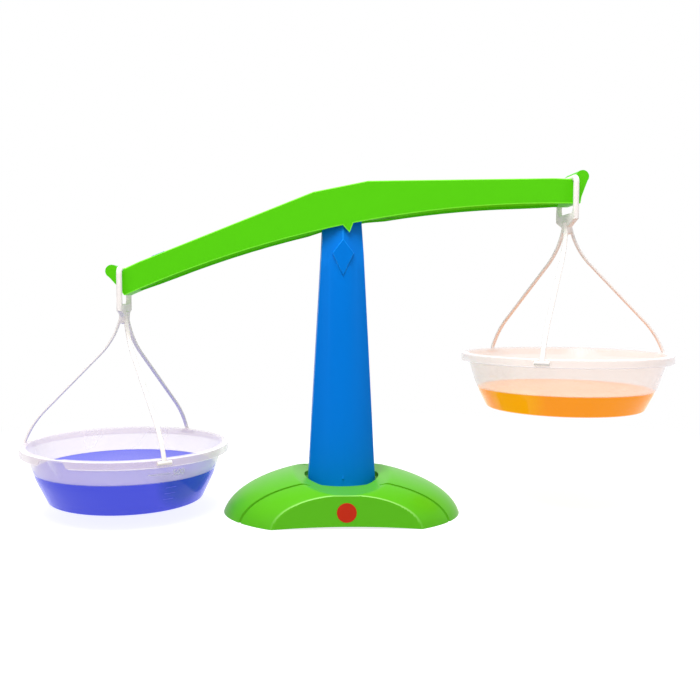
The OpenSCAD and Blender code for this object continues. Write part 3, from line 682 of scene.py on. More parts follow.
def strap_path(sizes, side, turn):
    """The middle line of one strap, from the hub to its cross bar, and the cross bar's middle."""
    slope, root_turn, foot_turn = sizes.strap_slope, sizes.strap_root_slope, sizes.strap_foot_slope
    upper, lower, foot = sizes.upper_bend, sizes.lower_bend, sizes.foot_bend
    end_r = strap_reach(sizes, side)
    root = arc(sizes.strap_root_r + upper * math.cos(root_turn),
               -sizes.strap_root_drop + upper * math.sin(root_turn), upper,
               180 + math.degrees(root_turn), 180 + math.degrees(slope), BEND_STEPS)
    bend_r = lower * (math.cos(foot_turn) - math.cos(slope)) + foot * (1.0 - math.cos(foot_turn))
    bend_drop = lower * (math.sin(slope) - math.sin(foot_turn)) + foot * math.sin(foot_turn)
    drop = root[-1][1] - (end_r - bend_r - root[-1][0]) / math.tan(slope) - bend_drop
    foot_r = end_r - foot
    low_r = foot_r + (foot - lower) * math.cos(foot_turn)
    low_z = drop + (foot - lower) * math.sin(foot_turn)
    into_hub, above_end = 0.8 * MM, 1.5 * MM
    line = [(sizes.strap_root_r - into_hub, -sizes.web_end_drop + above_end)] + root
    line += arc(low_r, low_z, lower, math.degrees(slope), math.degrees(foot_turn), BEND_STEPS)
    line += arc(foot_r, drop, foot, math.degrees(foot_turn), 0, 5)[1:]
    line += [(end_r, drop - sizes.tee_r / 2)]
    hook, out = HOOKS[side], outward(turn)
    return [hook + out * r + upward(z) for r, z in line], hook + out * end_r + upward(drop)


def rod(data, start, end, radius, cap=4, first=0.35, least=0.3):
    """A round bar with rounded ends."""
    along = (end - start).normalized()
    side = along.orthogonal().normalized()
    other = along.cross(side)
    sweep = [math.pi / 2 * (k + first) / (cap + first) for k in range(cap + 1)]
    stations = [(start, 1.0, angle) for angle in sweep]
    stations += [(end, -1.0, angle) for angle in reversed(sweep)]
    layers = []
    for tip, inwards, angle in stations:
        place = tip + along * (inwards * radius * (1.0 - math.sin(angle)))
        ring = circle(radius * max(least, math.sin(angle)), TEE_AROUND)
        layers.append([place + side * u + other * v for u, v in ring])
    stacked(data, layers)


def stirrup_path(sizes, hook):
    """The round bar's middle line: up one side, over the hook and down the other."""
    half = sizes.stirrup_depth / 2
    corner = sizes.stirrup_corner
    line = [(-half, -sizes.web_drop)]
    line += arc(-half + corner, -corner, corner, 180, 90, 10)
    line += arc(half - corner, -corner, corner, 90, 0, 10)
    line += [(half, -sizes.web_drop)]
    return [hook + Vector((0.0, y, z)) for y, z in line]


def web_outline(sizes):
    """The web between the stirrup's side bars, with the window's lower corners."""
    outer = sizes.stirrup_depth / 2 + 0.95 * sizes.bar_r
    inner = sizes.stirrup_depth / 2 - sizes.bar_r
    corner, window = sizes.web_corner, -sizes.window_drop
    right = [(sizes.web_end_half, -sizes.web_end_drop, corner), (outer, -sizes.web_drop, corner),
             (outer, window + corner, 0.0), (inner, window + corner, 0.0),
             (inner, window, corner * 0.9)]
    return fillets(right + [(-y, z, radius) for y, z, radius in reversed(right)])


def hanger_mesh(sizes, side):
    """One moulding: the stirrup, its web and hub, and three straps with cross bars."""
    hook = HOOKS[side]
    data = bmesh.new()
    swept(data, stirrup_path(sizes, hook), circle(sizes.bar_r, BAR_AROUND), Vector((1.0, 0.0, 0.0)))
    thick = 0.9 * sizes.bar_r
    rounded_prism(data, web_outline(sizes), -thick, thick, 0.45 * thick,
                  lambda u, v, w: hook + Vector((-w, u, v)), steps=3)
    hub = [(0.3, -sizes.hub_drop), (0.6, -sizes.hub_drop + 0.3 * MM),
           (0.8, -sizes.hub_drop + 1.0 * MM), (0.95, -sizes.web_end_drop - 1.0 * MM),
           (1.0, -sizes.web_drop - 1.0 * MM), (0.5, -sizes.web_drop)]
    stacked(data, [[hook + Vector((x, y, z)) for x, y in circle(sizes.hub_r * share, BAR_AROUND)]
                   for share, z in hub])
    width, thickness = sizes.strap_width, sizes.strap_thickness
    section = rounded_section(width, thickness, 0.42 * thickness)
    for turn in strap_turns(side):
        across = sideways(turn)
        path, foot = strap_path(sizes, side, turn)
        swept(data, path, section, across)
        half = across * (sizes.tee_length / 2)
        rod(data, foot - half, foot + half, sizes.tee_r)
    return mesh_object(side + "_strap_hanger", data)


def bowl_radius(sizes, rim_r, drop):
    """Outer radius of the bowl's side at a depth below the rim; it leans in further lower down."""
    upper, lower = math.tan(sizes.bowl_slope), math.tan(sizes.lower_slope)
    reach = sizes.lean_blend / 2
    past = max(0.0, min(2 * reach, drop - sizes.lean_drop + reach))
    beyond = max(0.0, drop - sizes.lean_drop - reach)
    leant = (lower - upper) * (past ** 2 / (4 * reach) + beyond)
    return rim_r - sizes.rim_width - drop * upper - leant


def spout_radius(sizes, rim_r, offset, drop, inset):
    """Radius at which the pouring spout's cone lies at an angle from its middle, or none."""
    middle = rim_r - sizes.spout_r
    cone = sizes.spout_r * (1.0 - drop / sizes.spout_drop) - inset
    if cone <= 0.0 or middle * abs(math.sin(offset)) >= cone or abs(offset) > math.pi / 4:
        return 0.0
    return middle * math.cos(offset) + math.sqrt(cone ** 2 - (middle * math.sin(offset)) ** 2)


def skirt_depth(sizes, rim_r, offset):
    """Depth of the skirt, which rounds off to nothing beside the spout."""
    gap = sizes.spout_r * 0.95 / rim_r
    ramp = 0.8 * sizes.skirt_height / rim_r
    if abs(offset) < gap:
        return sizes.pan_wall * 1.05
    share = min(1.0, (abs(offset) - gap) / ramp)
    rounding = math.sqrt(1.0 - (1.0 - share) ** 2)
    return sizes.pan_wall + (sizes.skirt_height - sizes.pan_wall) * rounding


def pan_profile(sizes, rim_r, offset):
    """The pan's section at an angle from its spout, as (radius, height over the rim's top)."""
    wall, curve, slope = sizes.pan_wall, sizes.bowl_curve, sizes.lower_slope
    floor = -sizes.pan_height
    cz = floor + curve
    cx = bowl_radius(sizes, rim_r, -cz) - curve / math.cos(slope)
    side_drop = -(cz - curve * math.sin(slope))

    def spout(drop, inset):
        return spout_radius(sizes, rim_r, offset, drop, inset)

    def bend(radius):
        return arc(cx, cz, radius, -90, -math.degrees(slope), CURVE_STEPS)

    outer = [(0.0, floor), (cx * 0.5, floor)] + bend(curve)
    for k in range(1, WALL_LEVELS + 1):
        drop = side_drop + (wall - side_drop) * k / WALL_LEVELS
        outer.append((max(bowl_radius(sizes, rim_r, drop), spout(drop, 0.0)), -drop))
    skirt = skirt_depth(sizes, rim_r, offset)
    inner_r = max(rim_r - sizes.skirt_wall, outer[-1][0])
    lip = 0.35 * sizes.skirt_wall
    outer += [(inner_r, -wall), (inner_r, -max(skirt - lip, wall)),
              (min(inner_r + lip, rim_r), -skirt), (rim_r - lip, -skirt),
              (rim_r, -max(skirt - lip, wall * 0.8))]
    outer += arc(rim_r - lip * 2, -lip * 2, lip * 2, 0, 90, 4)
    mouth = bowl_radius(sizes, rim_r, 0.0) - wall / math.cos(sizes.bowl_slope)
    mouth = min(max(mouth, spout(0.0, wall)), rim_r - lip * 5)
    inner = [(mouth + lip, 0.0), (mouth + lip * 0.3, -lip * 0.3), (mouth, -lip)]
    for k in range(1, WALL_LEVELS + 1):
        drop = lip + (side_drop - lip) * k / WALL_LEVELS
        share = min(1.0, drop / sizes.lean_drop) ** 4
        lean = sizes.bowl_slope + (slope - sizes.bowl_slope) * share
        plain = bowl_radius(sizes, rim_r, drop) - wall / math.cos(lean)
        inner.append((max(plain, spout(drop + wall * 0.5, wall)), -drop))
    inner += list(reversed(bend(curve - wall)))[1:]
    return outer + inner + [(cx * 0.5, floor + wall), (0.0, floor + wall)]


def turned(data, centre, profile_at, turns):
    """A closed solid of revolution whose section may change with the turn; both of the section's
    ends lie on the axis."""
    columns = []
    ends = None
    for turn in turns:
        out = outward(turn)
        profile = profile_at(turn)
        ends = ends or [data.verts.new(centre + upward(profile[k][1])) for k in (0, -1)]
        places = [data.verts.new(centre + out * r + upward(z)) for r, z in profile[1:-1]]
        columns.append([ends[0]] + places + [ends[1]])
    for here, ahead in zip(columns, columns[1:] + columns[:1]):
        for k in range(len(here) - 1):
            corners = dict.fromkeys((here[k], ahead[k], ahead[k + 1], here[k + 1]))
            data.faces.new(list(corners))


def from_spout(turn, spout):
    """The turn from the spout's middle, between -half and +half a turn."""
    return (turn - spout + math.pi) % FULL_TURN - math.pi


def even_turns():
    """Even steps all round a pan."""
    return [FULL_TURN * i / PAN_AROUND for i in range(PAN_AROUND)]


def pan_turns(spout):
    """Turns round the pan, closer together at the spout."""
    near = [turn for turn in even_turns()
            if abs(from_spout(turn, spout)) > math.radians(SPOUT_SPAN)]
    fine = [(spout + math.radians(-SPOUT_SPAN + SPOUT_STEP * k)) % FULL_TURN
            for k in range(round(2 * SPOUT_SPAN / SPOUT_STEP) + 1)]
    return sorted(near + fine)


def pan_mesh(sizes, side):
    """One milky pan: bowl, spout, flat rim and skirt, with windows for the cross bars."""
    rim_r, centre, spout = RIM_R[side], RIM_MIDDLE[side], SPOUT_TURN[side]
    data = bmesh.new()
    turned(data, centre, lambda turn: pan_profile(sizes, rim_r, from_spout(turn, spout)),
           pan_turns(spout))
    pan = mesh_object(side + "_milky_pan", data)
    gap, wall, tee = sizes.notch_gap, sizes.pan_wall, sizes.tee_r
    windows = ((sizes.strap_width / 2 + gap, -3 * tee, wall, sizes.strap_thickness * 0.9 + gap),
               (sizes.tee_length / 2 + gap, -wall - 2 * tee - gap, -wall * 1.01, tee + gap))
    cutters = []
    for turn in strap_turns(side):
        for half, low, high, reach in windows:
            across = sideways(turn) * half
            start_r = strap_reach(sizes, side) - reach
            ends = [centre + outward(turn) * r for r in (start_r, rim_r * 1.1)]
            cutters.append(stacked_object("pan_window_cutter", [
                [end - across + upward(low), end + across + upward(low),
                 end + across + upward(high), end - across + upward(high)] for end in ends]))
    return cut_out(pan, cutters)


def water_mesh(sizes, side, depth):
    """The water in a pan; it reaches into the clear wall, as wet plastic shows it, and its edge is
    raised."""
    rim_r, reach = RIM_R[side], sizes.water_reach
    surface = -depth
    edge = bowl_radius(sizes, rim_r, depth) - sizes.pan_wall / math.cos(sizes.lower_slope) + reach

    def section(turn):
        inner = pan_profile(sizes, rim_r, from_spout(turn, SPOUT_TURN[side]))
        inner = reversed(inner[-(WALL_LEVELS + CURVE_STEPS + 2):])
        below = [(r, z) for r, z in inner if z < surface - 0.5 * MM]
        places = [(r + reach if r > 0 else 0.0, z - reach) for r, z in below]
        places += [(edge + out * MM, surface + over * MM) for out, over in WATER_EDGE]
        return places + [(edge * 0.5, surface), (0.0, surface)]

    data = bmesh.new()
    turned(data, RIM_MIDDLE[side], section, even_turns())
    return mesh_object(side + "_pan_water", data)


def mark_mesh(sizes, side, marks):
    """Raised graduation lines on the pan's outer wall."""
    data = bmesh.new()
    for mark in marks:
        drop, width, height = (measure * MM for measure in mark[1:])
        middle = math.radians(MARKED_SIDE[side] + mark[0])
        steps = max(4, int(width / MM))
        layers = []
        for k in range(steps + 1):
            turn = middle + (k / steps - 0.5) * width / bowl_radius(sizes, RIM_R[side], drop)
            ring = []
            for up, proud in MARK_SECTION:
                z = -drop + up * height
                r = bowl_radius(sizes, RIM_R[side], -z) + proud * sizes.mark_proud
                ring.append(RIM_MIDDLE[side] + outward(turn) * r + upward(z))
            layers.append(ring)
        stacked(data, layers)
    return mesh_object(side + "_pan_lines", data)


def number_mesh(sizes, side):
    """A raised number, bent round the pan's outer wall."""
    capital = 0.7
    text = bpy.data.curves.new("number", "FONT")
    text.body = NUMBER
    text.size = NUMBER_HEIGHT / capital
    text.align_x = "CENTER"
    text.extrude = sizes.mark_proud
    holder = added("number", text)
    mesh = applied(holder)
    bpy.data.objects.remove(holder)
    bpy.data.curves.remove(text)
    for vertex in mesh.vertices:
        x, y, proud = vertex.co
        z = y - NUMBER_DROP
        r = bowl_radius(sizes, RIM_R[side], -z) + proud
        turn = math.radians(MARKED_SIDE[side] + NUMBER_TURN) + x / r
        vertex.co = RIM_MIDDLE[side] + outward(turn) * r + upward(z)
    return added(side + "_pan_number", mesh)


def tint(name, description, default):
    """A colour to set."""
    return bpy.props.FloatVectorProperty(name=name, description=description, default=default,
                                         subtype="COLOR", size=3, min=0.0, max=1.0)


def length(name, description, millimetres):
    """A length to set, with its default in millimetres."""
    return bpy.props.FloatProperty(
        name=name, description=description, default=millimetres * MM, min=0.0, max=1.0,
        subtype="DISTANCE", unit="LENGTH", precision=5)


def slant(name, description, degrees):
    """An angle to set, with its default in degrees."""
    return bpy.props.FloatProperty(
        name=name, description=description, default=math.radians(degrees), subtype="ANGLE",
        unit="ROTATION")


class BalanceColours(bpy.types.PropertyGroup):
    beam: tint("Beam", "Colour of the beam", (0.083, 0.535, 0.003))
    # A lighter colour that paints a highlight on the beam's rounded edges
    beam_painted_highlight: tint("Beam edges", "Colour of the beam's polished edges", (0.210, 0.860, 0.035))
    # A lighter colour that paints a highlight along the rims of the base's flat faces
    base: tint("Base", "Colour of the base", (0.115, 0.540, 0.010))
    base_painted_highlight: tint("Base edges", "Colour of the rims of the base's flat faces",
                     (0.420, 0.900, 0.200))
    column: tint("Column", "Colour of the column", (0.000, 0.195, 0.740))
    # A lighter colour that paints a highlight on the column's creases and edges
    column_painted_highlight: tint("Column edges", "Colour of the column's polished edges",
                       (0.000, 0.270, 0.880))
    slider: tint("Slider", "Colour of the zero slider", (0.010, 0.130, 0.560))
    badge: tint("Badge", "Colour of the round badge", (0.600, 0.028, 0.008))
    nylon: tint("Hangers", "Colour of the hangers and bearings", (0.900, 0.840, 0.810))
    left_pan: tint("Left pan", "Colour of the pan over the blue water", (0.860, 0.760, 0.790))
    right_pan: tint("Right pan", "Colour of the pan over the orange water", (1.000, 0.910, 0.870))
    blue_water: tint("Blue water", "Colour of the water in the left pan", (0.062, 0.080, 0.680))
    blue_deep: tint("Deep blue", "Its colour beside the base", (0.022, 0.062, 0.465))
    orange_water: tint("Orange water", "Colour of the water in the right pan",
                       (0.930, 0.300, 0.008))
    orange_deep: tint("Deep orange", "Its colour at the left", (0.930, 0.380, 0.002))
    marks: tint("Marks", "Colour of the raised marks", (0.800, 0.800, 0.920))
    blue_marks: tint("Wet blue marks", "Colour of the marks at the blue water",
                     (0.140, 0.160, 0.700))
    orange_marks: tint("Wet orange marks", "Colour of the marks at the orange water",
                       (0.930, 0.420, 0.080))
    steel: tint("Steel", "Colour of the pin and the screws", (0.600, 0.610, 0.630))


class BalanceSizes(bpy.types.PropertyGroup):
    dome_height: length("Dome height", "Height of the dome without its recess", 37.8)
    dome_sink: length("Dome sink", "How far the dome's centre lies below the table", 6.0)
    dome_depth: length("Dome depth", "Depth of the dome without its flat faces", 150.0)
    base_wall: length("Base wall", "Wall of the base", 2.4)
    recess_r: length("Recess radius", "Reach of the column's recess to the front", 36.5)
    recess_half: length("Recess half width", "Reach of the column's recess to each side", 31.0)
    recess_floor: length("Recess floor", "Height of the recess floor", 24.5)
    hollow_floor: length("Hollow floor", "Height of the hollows in front and behind", 26.5)
    hollow_width: length("Hollow width", "Width of the hollows at the shoulders", 78.0)
    hollow_rise: length("Hollow rise", "How high the shoulders stand over the hollows", 6.8)
    hollow_blend: length("Hollow blend", "How softly the hollows run into the dome", 1.2)
    face_blend: length("Face rounding", "Radius of the edge between the flat faces and the dome",
                       0.8)
    groove_width: length("Groove width", "Width of the long grooves", 2.4)
    groove_depth: length("Groove depth", "Depth of the long grooves", 2.6)
    groove_y: length("Groove place", "Distance of each groove from the middle", 39.5)
    edge_lift: length("Edge lift", "Lift of the front and rear edges", 2.2)
    lip_width: length("Lip width", "Width of the arms' sloping lower edges", 1.2)
    lip_drop: length("Lip drop", "How far they slope down inwards", 1.5)
    lip_start: length("Lip start", "Where they begin beside the column", 20.0)
    lip_end: length("Lip end", "Where they end before the hooks", 174.0)
    belly_r: length("Belly radius", "Radius of the arms' arched underside", 860.0)
    belly_drop: length("Belly depth", "Depth of the underside below the pivot", 19.7)
    edge_round: length("Edge rounding", "Radius of the moulded edges", 0.8)
    bar_r: length("Bar radius", "Radius of the stirrup's round bar", 2.3)
    stirrup_depth: length("Stirrup depth", "Distance between the side bars", 40.0)
    stirrup_corner: length("Stirrup corner", "Radius of the stirrup's upper corners", 4.0)
    window_drop: length("Window depth", "Depth of the window below the hook", 28.0)
    web_corner: length("Web corner", "Radius of the window's lower corners", 4.0)
    web_drop: length("Web depth", "Depth at which the web narrows", 33.5)
    web_end_drop: length("Web end", "Depth of the web's lower edge", 38.5)
    web_end_half: length("Web half width", "Half width of the web's lower edge", 8.5)
    hub_r: length("Hub radius", "Radius of the hub under the web", 4.5)
    hub_drop: length("Hub depth", "Depth of the hub's tip", 44.6)
    strap_width: length("Strap width", "Width of a strap", 3.6)
    strap_thickness: length("Strap thickness", "Thickness of a strap", 2.0)
    strap_root_r: length("Strap root", "Distance of a strap's root from the hub's middle", 3.3)
    strap_root_drop: length("Strap root depth", "Depth of the straps' roots", 39.5)
    upper_bend: length("Upper bend", "Radius of the straps' upper bend", 65.0)
    lower_bend: length("Lower bend", "Radius of the straps' lower bend", 75.0)
    foot_bend: length("Foot bend", "Radius of the straps' last bend", 7.0)
    strap_root_slope: slant("Strap root slope", "Angle of the straps from the vertical at the root",
                            14.0)
    strap_slope: slant("Strap slope", "Angle of the straps' straight run from the vertical", 44.8)
    strap_foot_slope: slant("Strap foot slope", "Angle of the straps just above the rim", 20.0)
    tee_length: length("Cross bar length", "Length of a strap's cross bar", 11.5)
    tee_r: length("Cross bar radius", "Radius of a strap's cross bar", 1.6)
    rim_width: length("Rim width", "Width of the pan's flat rim", 4.1)
    skirt_height: length("Skirt height", "Height of the skirt under the rim", 6.6)
    skirt_wall: length("Skirt wall", "Thickness of the skirt", 1.3)
    pan_wall: length("Pan wall", "Thickness of the pan", 1.5)
    pan_height: length("Pan height", "Height of a pan", 46.4)
    bowl_curve: length("Bowl curve", "Radius of the curve between side and floor", 4.6)
    bowl_slope: slant("Bowl slope", "Slope of the bowl's side from the vertical", 17.0)
    lower_slope: slant("Lower slope", "Slope of the bowl's side lower down", 26.0)
    lean_drop: length("Lean depth", "Depth at which the side leans in further", 26.0)
    lean_blend: length("Lean blend", "Height of the soft bend there", 8.0)
    spout_r: length("Spout radius", "Radius of the pouring spout at the rim", 13.0)
    spout_drop: length("Spout depth", "Depth of the pouring spout", 22.0)
    notch_gap: length("Notch gap", "Clearance of a strap in the pan's rim", 0.3)
    water_reach: length("Water reach", "How far the water seems to reach into the clear wall", 1.1)
    mark_proud: length("Mark relief", "How far the graduation marks stand out", 0.25)
    left_fill: length("Left fill", "Depth of the left water below the rim", 20.1)
    right_fill: length("Right fill", "Depth of the right water below the rim", 29.4)


class BalanceStudio(bpy.types.PropertyGroup):
    key_power: bpy.props.FloatProperty(
        name="Key light", description="Power of the large overhead lamp", default=15.0,
        unit="POWER")
    fill_power: bpy.props.FloatProperty(
        name="Fill light", description="Power of the front lamps", default=2.6, unit="POWER")
    sky: bpy.props.FloatProperty(
        name="Sky", description="Strength of the light all round", default=0.40)


class BALANCE_OT_base(bpy.types.Operator):
    """Builds the green domed base with its recess, grooves, plate and badge"""
    bl_idname = "balance.base"
    bl_label = "Base"

    def execute(self, context):
        colours = context.scene.balance_colours
        sizes = context.scene.balance_sizes
        green = moulded_plastic("base green plastic", colours.base, roughness=0.32, gloss=0.14)
        # A painted highlight strip along the rims of the flat faces
        painted_crest_highlight(green, BASE_FACE, colours.base_painted_highlight)
        shell = base_mesh(sizes)
        cut_out(shell, [recess_cutter(sizes)] + [
            groove_cutter(sizes, y) for y in (-sizes.groove_y, sizes.groove_y)])
        finish(shell, green, "stand", crease=32.0, replaces="base_shell")
        dark = toned(colours.base, 0.6)
        paint("base_plate", moulded_plastic("plate plastic", dark, roughness=0.55, grain=0.15))
        red = moulded_plastic("badge plastic", colours.badge, roughness=0.35, gloss=0.1)
        badge = rounded_copy("badge", 0.15 * MM)
        finish(even_shading(badge), red, "stand", replaces="badge")
        return {"FINISHED"}


class BALANCE_OT_column(bpy.types.Operator):
    """Builds the blue tapered column"""
    bl_idname = "balance.column"
    bl_label = "Column"

    def execute(self, context):
        colours = context.scene.balance_colours
        blue = moulded_plastic("column blue plastic", colours.column, roughness=0.4, gloss=0.06)
        # Painted highlight: the column's rounded creases take a lighter blue
        light = moulded_plastic("column edges", colours.column_painted_highlight, roughness=0.3, gloss=0.2)
        column = rounded_copy("column", 0.45 * MM, segments=3, crease=25.0, edge_slot=1,
                              shortest=4.0 * MM)
        finish(even_shading(column), blue, "stand", replaces="column", edges=light)
        return {"FINISHED"}


class BALANCE_OT_beam(bpy.types.Operator):
    """Builds the arched green beam with its zero slider"""
    bl_idname = "balance.beam"
    bl_label = "Beam"

    def execute(self, context):
        colours = context.scene.balance_colours
        sizes = context.scene.balance_sizes
        # Painted light: the green glows a little, and the rounded edges take a lighter,
        # stronger-glowing colour as a painted highlight
        green = moulded_plastic("beam green plastic", colours.beam, roughness=0.35, gloss=0.1,
                                glow=0.2)
        painted_highlight = moulded_plastic("polished beam edges", colours.beam_painted_highlight, roughness=0.3,
                                   gloss=0.1, glow=0.3)
        beam = rounded_copy("beam", sizes.edge_round, segments=3, crease=20.0, edge_slot=1,
                            shortest=1.2 * sizes.edge_round, outside=BEAM_FACE)
        self.lips(beam, sizes)
        finish(even_shading(beam), green, "beam", replaces="beam", edges=painted_highlight)
        blue = moulded_plastic("slider blue plastic", colours.slider, roughness=0.35)
        slider = rounded_copy("zero_slider", 0.25 * MM)
        finish(even_shading(slider), blue, "slider", replaces="zero_slider")
        return {"FINISHED"}

    def lips(self, beam, sizes):
        """Draws the inner rims of the arms' undersides down, so that their lower edges slope."""
        fade_in, fade_out, near = 4.0 * MM, 16.0 * MM, 1.2 * MM
        tilt = (HOOKS["right"] - HOOKS["left"]).normalized()
        down = Vector((tilt.z, 0.0, -tilt.x))
        for vertex in beam.data.vertices:
            away = vertex.co - PIVOT
            along = abs(away.dot(tilt))
            belly = sizes.belly_r - math.sqrt(sizes.belly_r ** 2 - along ** 2) + sizes.belly_drop
            share = min(1.0, max(0.0, (along - sizes.lip_start) / fade_in),
                        max(0.0, (sizes.lip_end - along) / fade_out))
            inside = abs(vertex.co.y) < BEAM_FACE - sizes.lip_width
            if share > 0.0 and inside and abs(away.dot(down) - belly) < near:
                vertex.co += down * (sizes.lip_drop * share)


class BALANCE_OT_hangers(bpy.types.Operator):
    """Builds the two white hangers, each a stirrup with three straps"""
    bl_idname = "balance.hangers"
    bl_label = "Hangers"

    def execute(self, context):
        # Painted light: the nylon glows faintly in its own colour
        nylon = moulded_plastic("hanger nylon", context.scene.balance_colours.nylon, roughness=0.45,
                                gloss=0.2, mottle=0.02, grain=0.0, glow=0.10)
        for side in SIDES:
            hanger = hanger_mesh(context.scene.balance_sizes, side)
            finish(hanger, nylon, side + "_pan_set", crease=40.0,
                   replaces=side + "_hanger")
        return {"FINISHED"}


class BALANCE_OT_pans(bpy.types.Operator):
    """Builds the two milky pans with their graduation marks"""
    bl_idname = "balance.pans"
    bl_label = "Pans"

    def execute(self, context):
        sizes = context.scene.balance_sizes
        colours = context.scene.balance_colours
        for side, colour, fill, wetted in (
                ("left", colours.left_pan, sizes.left_fill, colours.blue_marks),
                ("right", colours.right_pan, sizes.right_fill, colours.orange_marks)):
            rim = (RIM_MIDDLE[side], RIM_R[side], sizes.skirt_height)
            level = RIM_MIDDLE[side].z - fill
            milk = milky_plastic(side + " milky polypropylene", colour, level, rim)
            pan = pan_mesh(sizes, side)
            finish(even_shading(pan), milk, side + "_pan_set", crease=42.0,
                   replaces=side + "_pan")
            white = moulded_plastic(side + " raised marks", colours.marks, roughness=0.4)
            # Painted light: the marks at the water glow in the water's colour
            clear = moulded_plastic(side + " wetted marks", wetted, roughness=0.3, gloss=0.1,
                                    glow=0.4)
            for mark, plastic in ((mark_mesh(sizes, side, [LONG_LINE]), white),
                                  (mark_mesh(sizes, side, SHORT_LINES), clear),
                                  (number_mesh(sizes, side), white)):
                finish(mark, plastic, side + "_pan_set")
        return {"FINISHED"}


class BALANCE_OT_water(bpy.types.Operator):
    """Fills the pans with coloured water"""
    bl_idname = "balance.water"
    bl_label = "Water"

    def execute(self, context):
        sizes = context.scene.balance_sizes
        colours = context.scene.balance_colours
        for side, fill, colour, deep in (
                ("left", sizes.left_fill, colours.blue_water, colours.blue_deep),
                ("right", sizes.right_fill, colours.orange_water, colours.orange_deep)):
            centre = RIM_MIDDLE[side] + Vector(DEEP_PLACE[side]) * MM
            dye = dyed_water(side + " dyed water", colour, deep, centre)
            finish(water_mesh(sizes, side, fill), dye, side + "_pan_set", crease=50.0)
        return {"FINISHED"}


class BALANCE_OT_hardware(bpy.types.Operator):
    """Finishes the pin, the screws and the bearings"""
    bl_idname = "balance.hardware"
    bl_label = "Pin, screws and bearings"

    def execute(self, context):
        steel = brushed_metal("plated steel", context.scene.balance_colours.steel)
        for node in ("fulcrum_pin", "plate_screws", "column_screws"):
            paint(node, steel)
        nylon = moulded_plastic("bearing nylon", context.scene.balance_colours.nylon, roughness=0.4)
        for node in ("front_bearing", "rear_bearing"):
            paint(node, nylon)
        return {"FINISHED"}


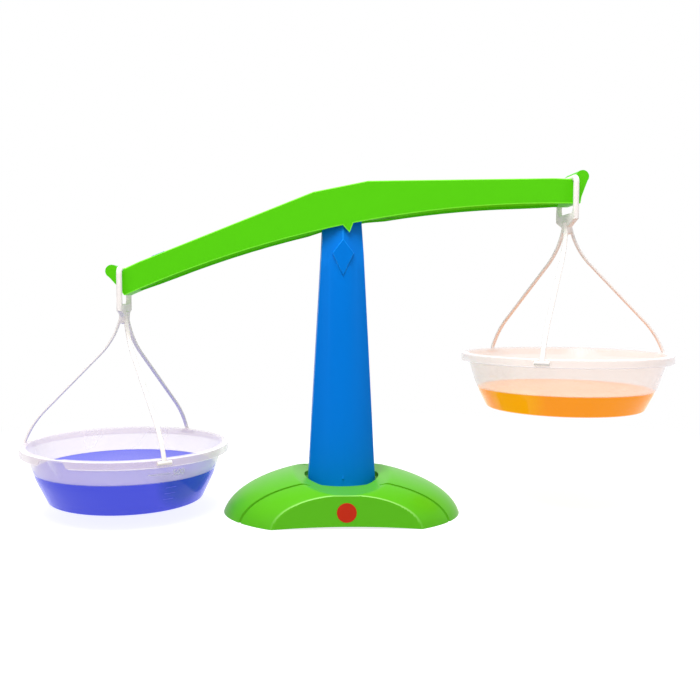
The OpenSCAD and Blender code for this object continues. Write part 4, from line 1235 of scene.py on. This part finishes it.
class BALANCE_OT_stage(bpy.types.Operator):
    """Sets up the pale floor, the soft studio light and the camera"""
    bl_idname = "balance.stage"
    bl_label = "Stage"

    def execute(self, context):
        scene = context.scene
        scene.view_settings.view_transform = "Standard"
        self.floor()
        self.lamps(scene.balance_studio)
        self.sky(scene)
        self.camera(scene)
        return {"FINISHED"}

    def seen_directly(self, tree):
        """1 for what the camera sees directly, in a mirror or through glass."""
        rays = add(tree, "ShaderNodeLightPath").outputs
        seen = maths(tree, "MAXIMUM", rays["Is Camera Ray"], rays["Is Glossy Ray"])
        return maths(tree, "MAXIMUM", seen, rays["Is Transmission Ray"])

    def floor(self):
        """A matte disc that looks white from above, with soft shadows round the object."""
        data = bmesh.new()
        bmesh.ops.create_circle(data, cap_ends=True, segments=96, radius=FLOOR_R)
        mesh = bpy.data.meshes.new("studio_floor")
        data.to_mesh(mesh)
        data.free()
        floor = added("studio_floor", mesh)
        floor.location.z = FLOOR_Z
        material, tree, place = shader("pale floor")
        matte = add(tree, "ShaderNodeBsdfDiffuse", Color=(0.45, 0.45, 0.45)).outputs[0]
        glow = add(tree, "ShaderNodeEmission", Color=WHITE, Strength=0.83).outputs[0]
        white = add(tree, "ShaderNodeEmission", Color=WHITE, Strength=1.0).outputs[0]
        away = vector_maths(tree, "LENGTH", place, result="Value")
        far = spread(tree, away, 0.0, 1.0, start=0.30, end=0.60)
        both = add(tree, "ShaderNodeAddShader", matte, glow).outputs[0]
        lit = add(tree, "ShaderNodeMixShader", far, both, white).outputs[0]
        mixed = add(tree, "ShaderNodeMixShader", self.seen_directly(tree), matte, lit)
        mesh.materials.append(surfaced(material, mixed))

    def lamps(self, studio):
        """A large lamp overhead and two weak ones in front."""
        top, left, right = (-0.15, -0.45, 1.25), (-1.15, -0.95, 0.55), (1.15, -0.95, 0.55)
        for name, place, aim_z, power in (("top_lamp", top, 0.12, studio.key_power),
                                          ("left_lamp", left, 0.15, studio.fill_power),
                                          ("right_lamp", right, 0.15, studio.fill_power)):
            light = bpy.data.lights.new(name, "AREA")
            light.shape = "DISK"
            light.size = 0.8
            light.energy = power
            holder = added(name, light)
            holder.location = place
            aim = upward(aim_z) - Vector(place)
            holder.rotation_euler = aim.to_track_quat("-Z", "Y").to_euler()

    def sky(self, scene):
        """An even light all round, which the camera sees as white."""
        world = bpy.data.worlds.new("studio")
        scene.world = world
        world.use_nodes = True
        tree = world.node_tree
        tree.nodes.clear()
        soft, white = (add(tree, "ShaderNodeBackground", Color=WHITE, Strength=strength).outputs[0]
                       for strength in (scene.balance_studio.sky, 1.0))
        mixed = add(tree, "ShaderNodeMixShader", self.seen_directly(tree), soft, white)
        add(tree, "ShaderNodeOutputWorld", Surface=mixed.outputs[0])
        laid_out(tree)

    def camera(self, scene):
        """The camera at the photograph's viewing angle."""
        data = bpy.data.cameras.new("photo_camera")
        data.sensor_width = CAMERA_SENSOR
        data.lens = CAMERA_LENS
        data.shift_x = CAMERA_SHIFT
        data.clip_start, data.clip_end = 0.02, 20.0
        holder = added("photo_camera", data)
        holder.location = CAMERA_PLACE
        holder.rotation_euler = (math.radians(90.0 + CAMERA_PITCH), 0.0, math.radians(CAMERA_YAW))
        scene.camera = holder


class BALANCE_PT_panel(bpy.types.Panel):
    """Lists the balance's pieces and settings"""
    bl_idname = "BALANCE_PT_panel"
    bl_label = "Bucket balance"
    bl_space_type = "VIEW_3D"
    bl_region_type = "UI"
    bl_category = "Balance"

    def draw(self, context):
        layout = self.layout
        for group in GROUPS:
            box = layout.box()
            settings = getattr(context.scene, group)
            for key in settings.bl_rna.properties.keys():
                if key not in ("rna_type", "name"):
                    box.prop(settings, key)
        for operator in OPERATORS:
            layout.operator(operator.bl_idname)


GROUPS = {"balance_colours": BalanceColours, "balance_sizes": BalanceSizes,
          "balance_studio": BalanceStudio}
OPERATORS = (BALANCE_OT_stage, BALANCE_OT_base, BALANCE_OT_column, BALANCE_OT_beam,
             BALANCE_OT_hangers, BALANCE_OT_pans, BALANCE_OT_water, BALANCE_OT_hardware)
CLASSES = (*GROUPS.values(), *OPERATORS, BALANCE_PT_panel)


def register():
    for item in CLASSES:
        bpy.utils.register_class(item)
    for name, group in GROUPS.items():
        setattr(bpy.types.Scene, name, bpy.props.PointerProperty(type=group))


def unregister():
    for name in GROUPS:
        delattr(bpy.types.Scene, name)
    for item in reversed(CLASSES):
        bpy.utils.unregister_class(item)


def main():
    register()
    bpy.ops.balance.stage()
    bpy.ops.balance.base()
    bpy.ops.balance.column()
    bpy.ops.balance.beam()
    bpy.ops.balance.hangers()
    bpy.ops.balance.pans()
    bpy.ops.balance.water()
    bpy.ops.balance.hardware()
    bpy.context.view_layer.update()


if __name__ == "__main__":
    main()
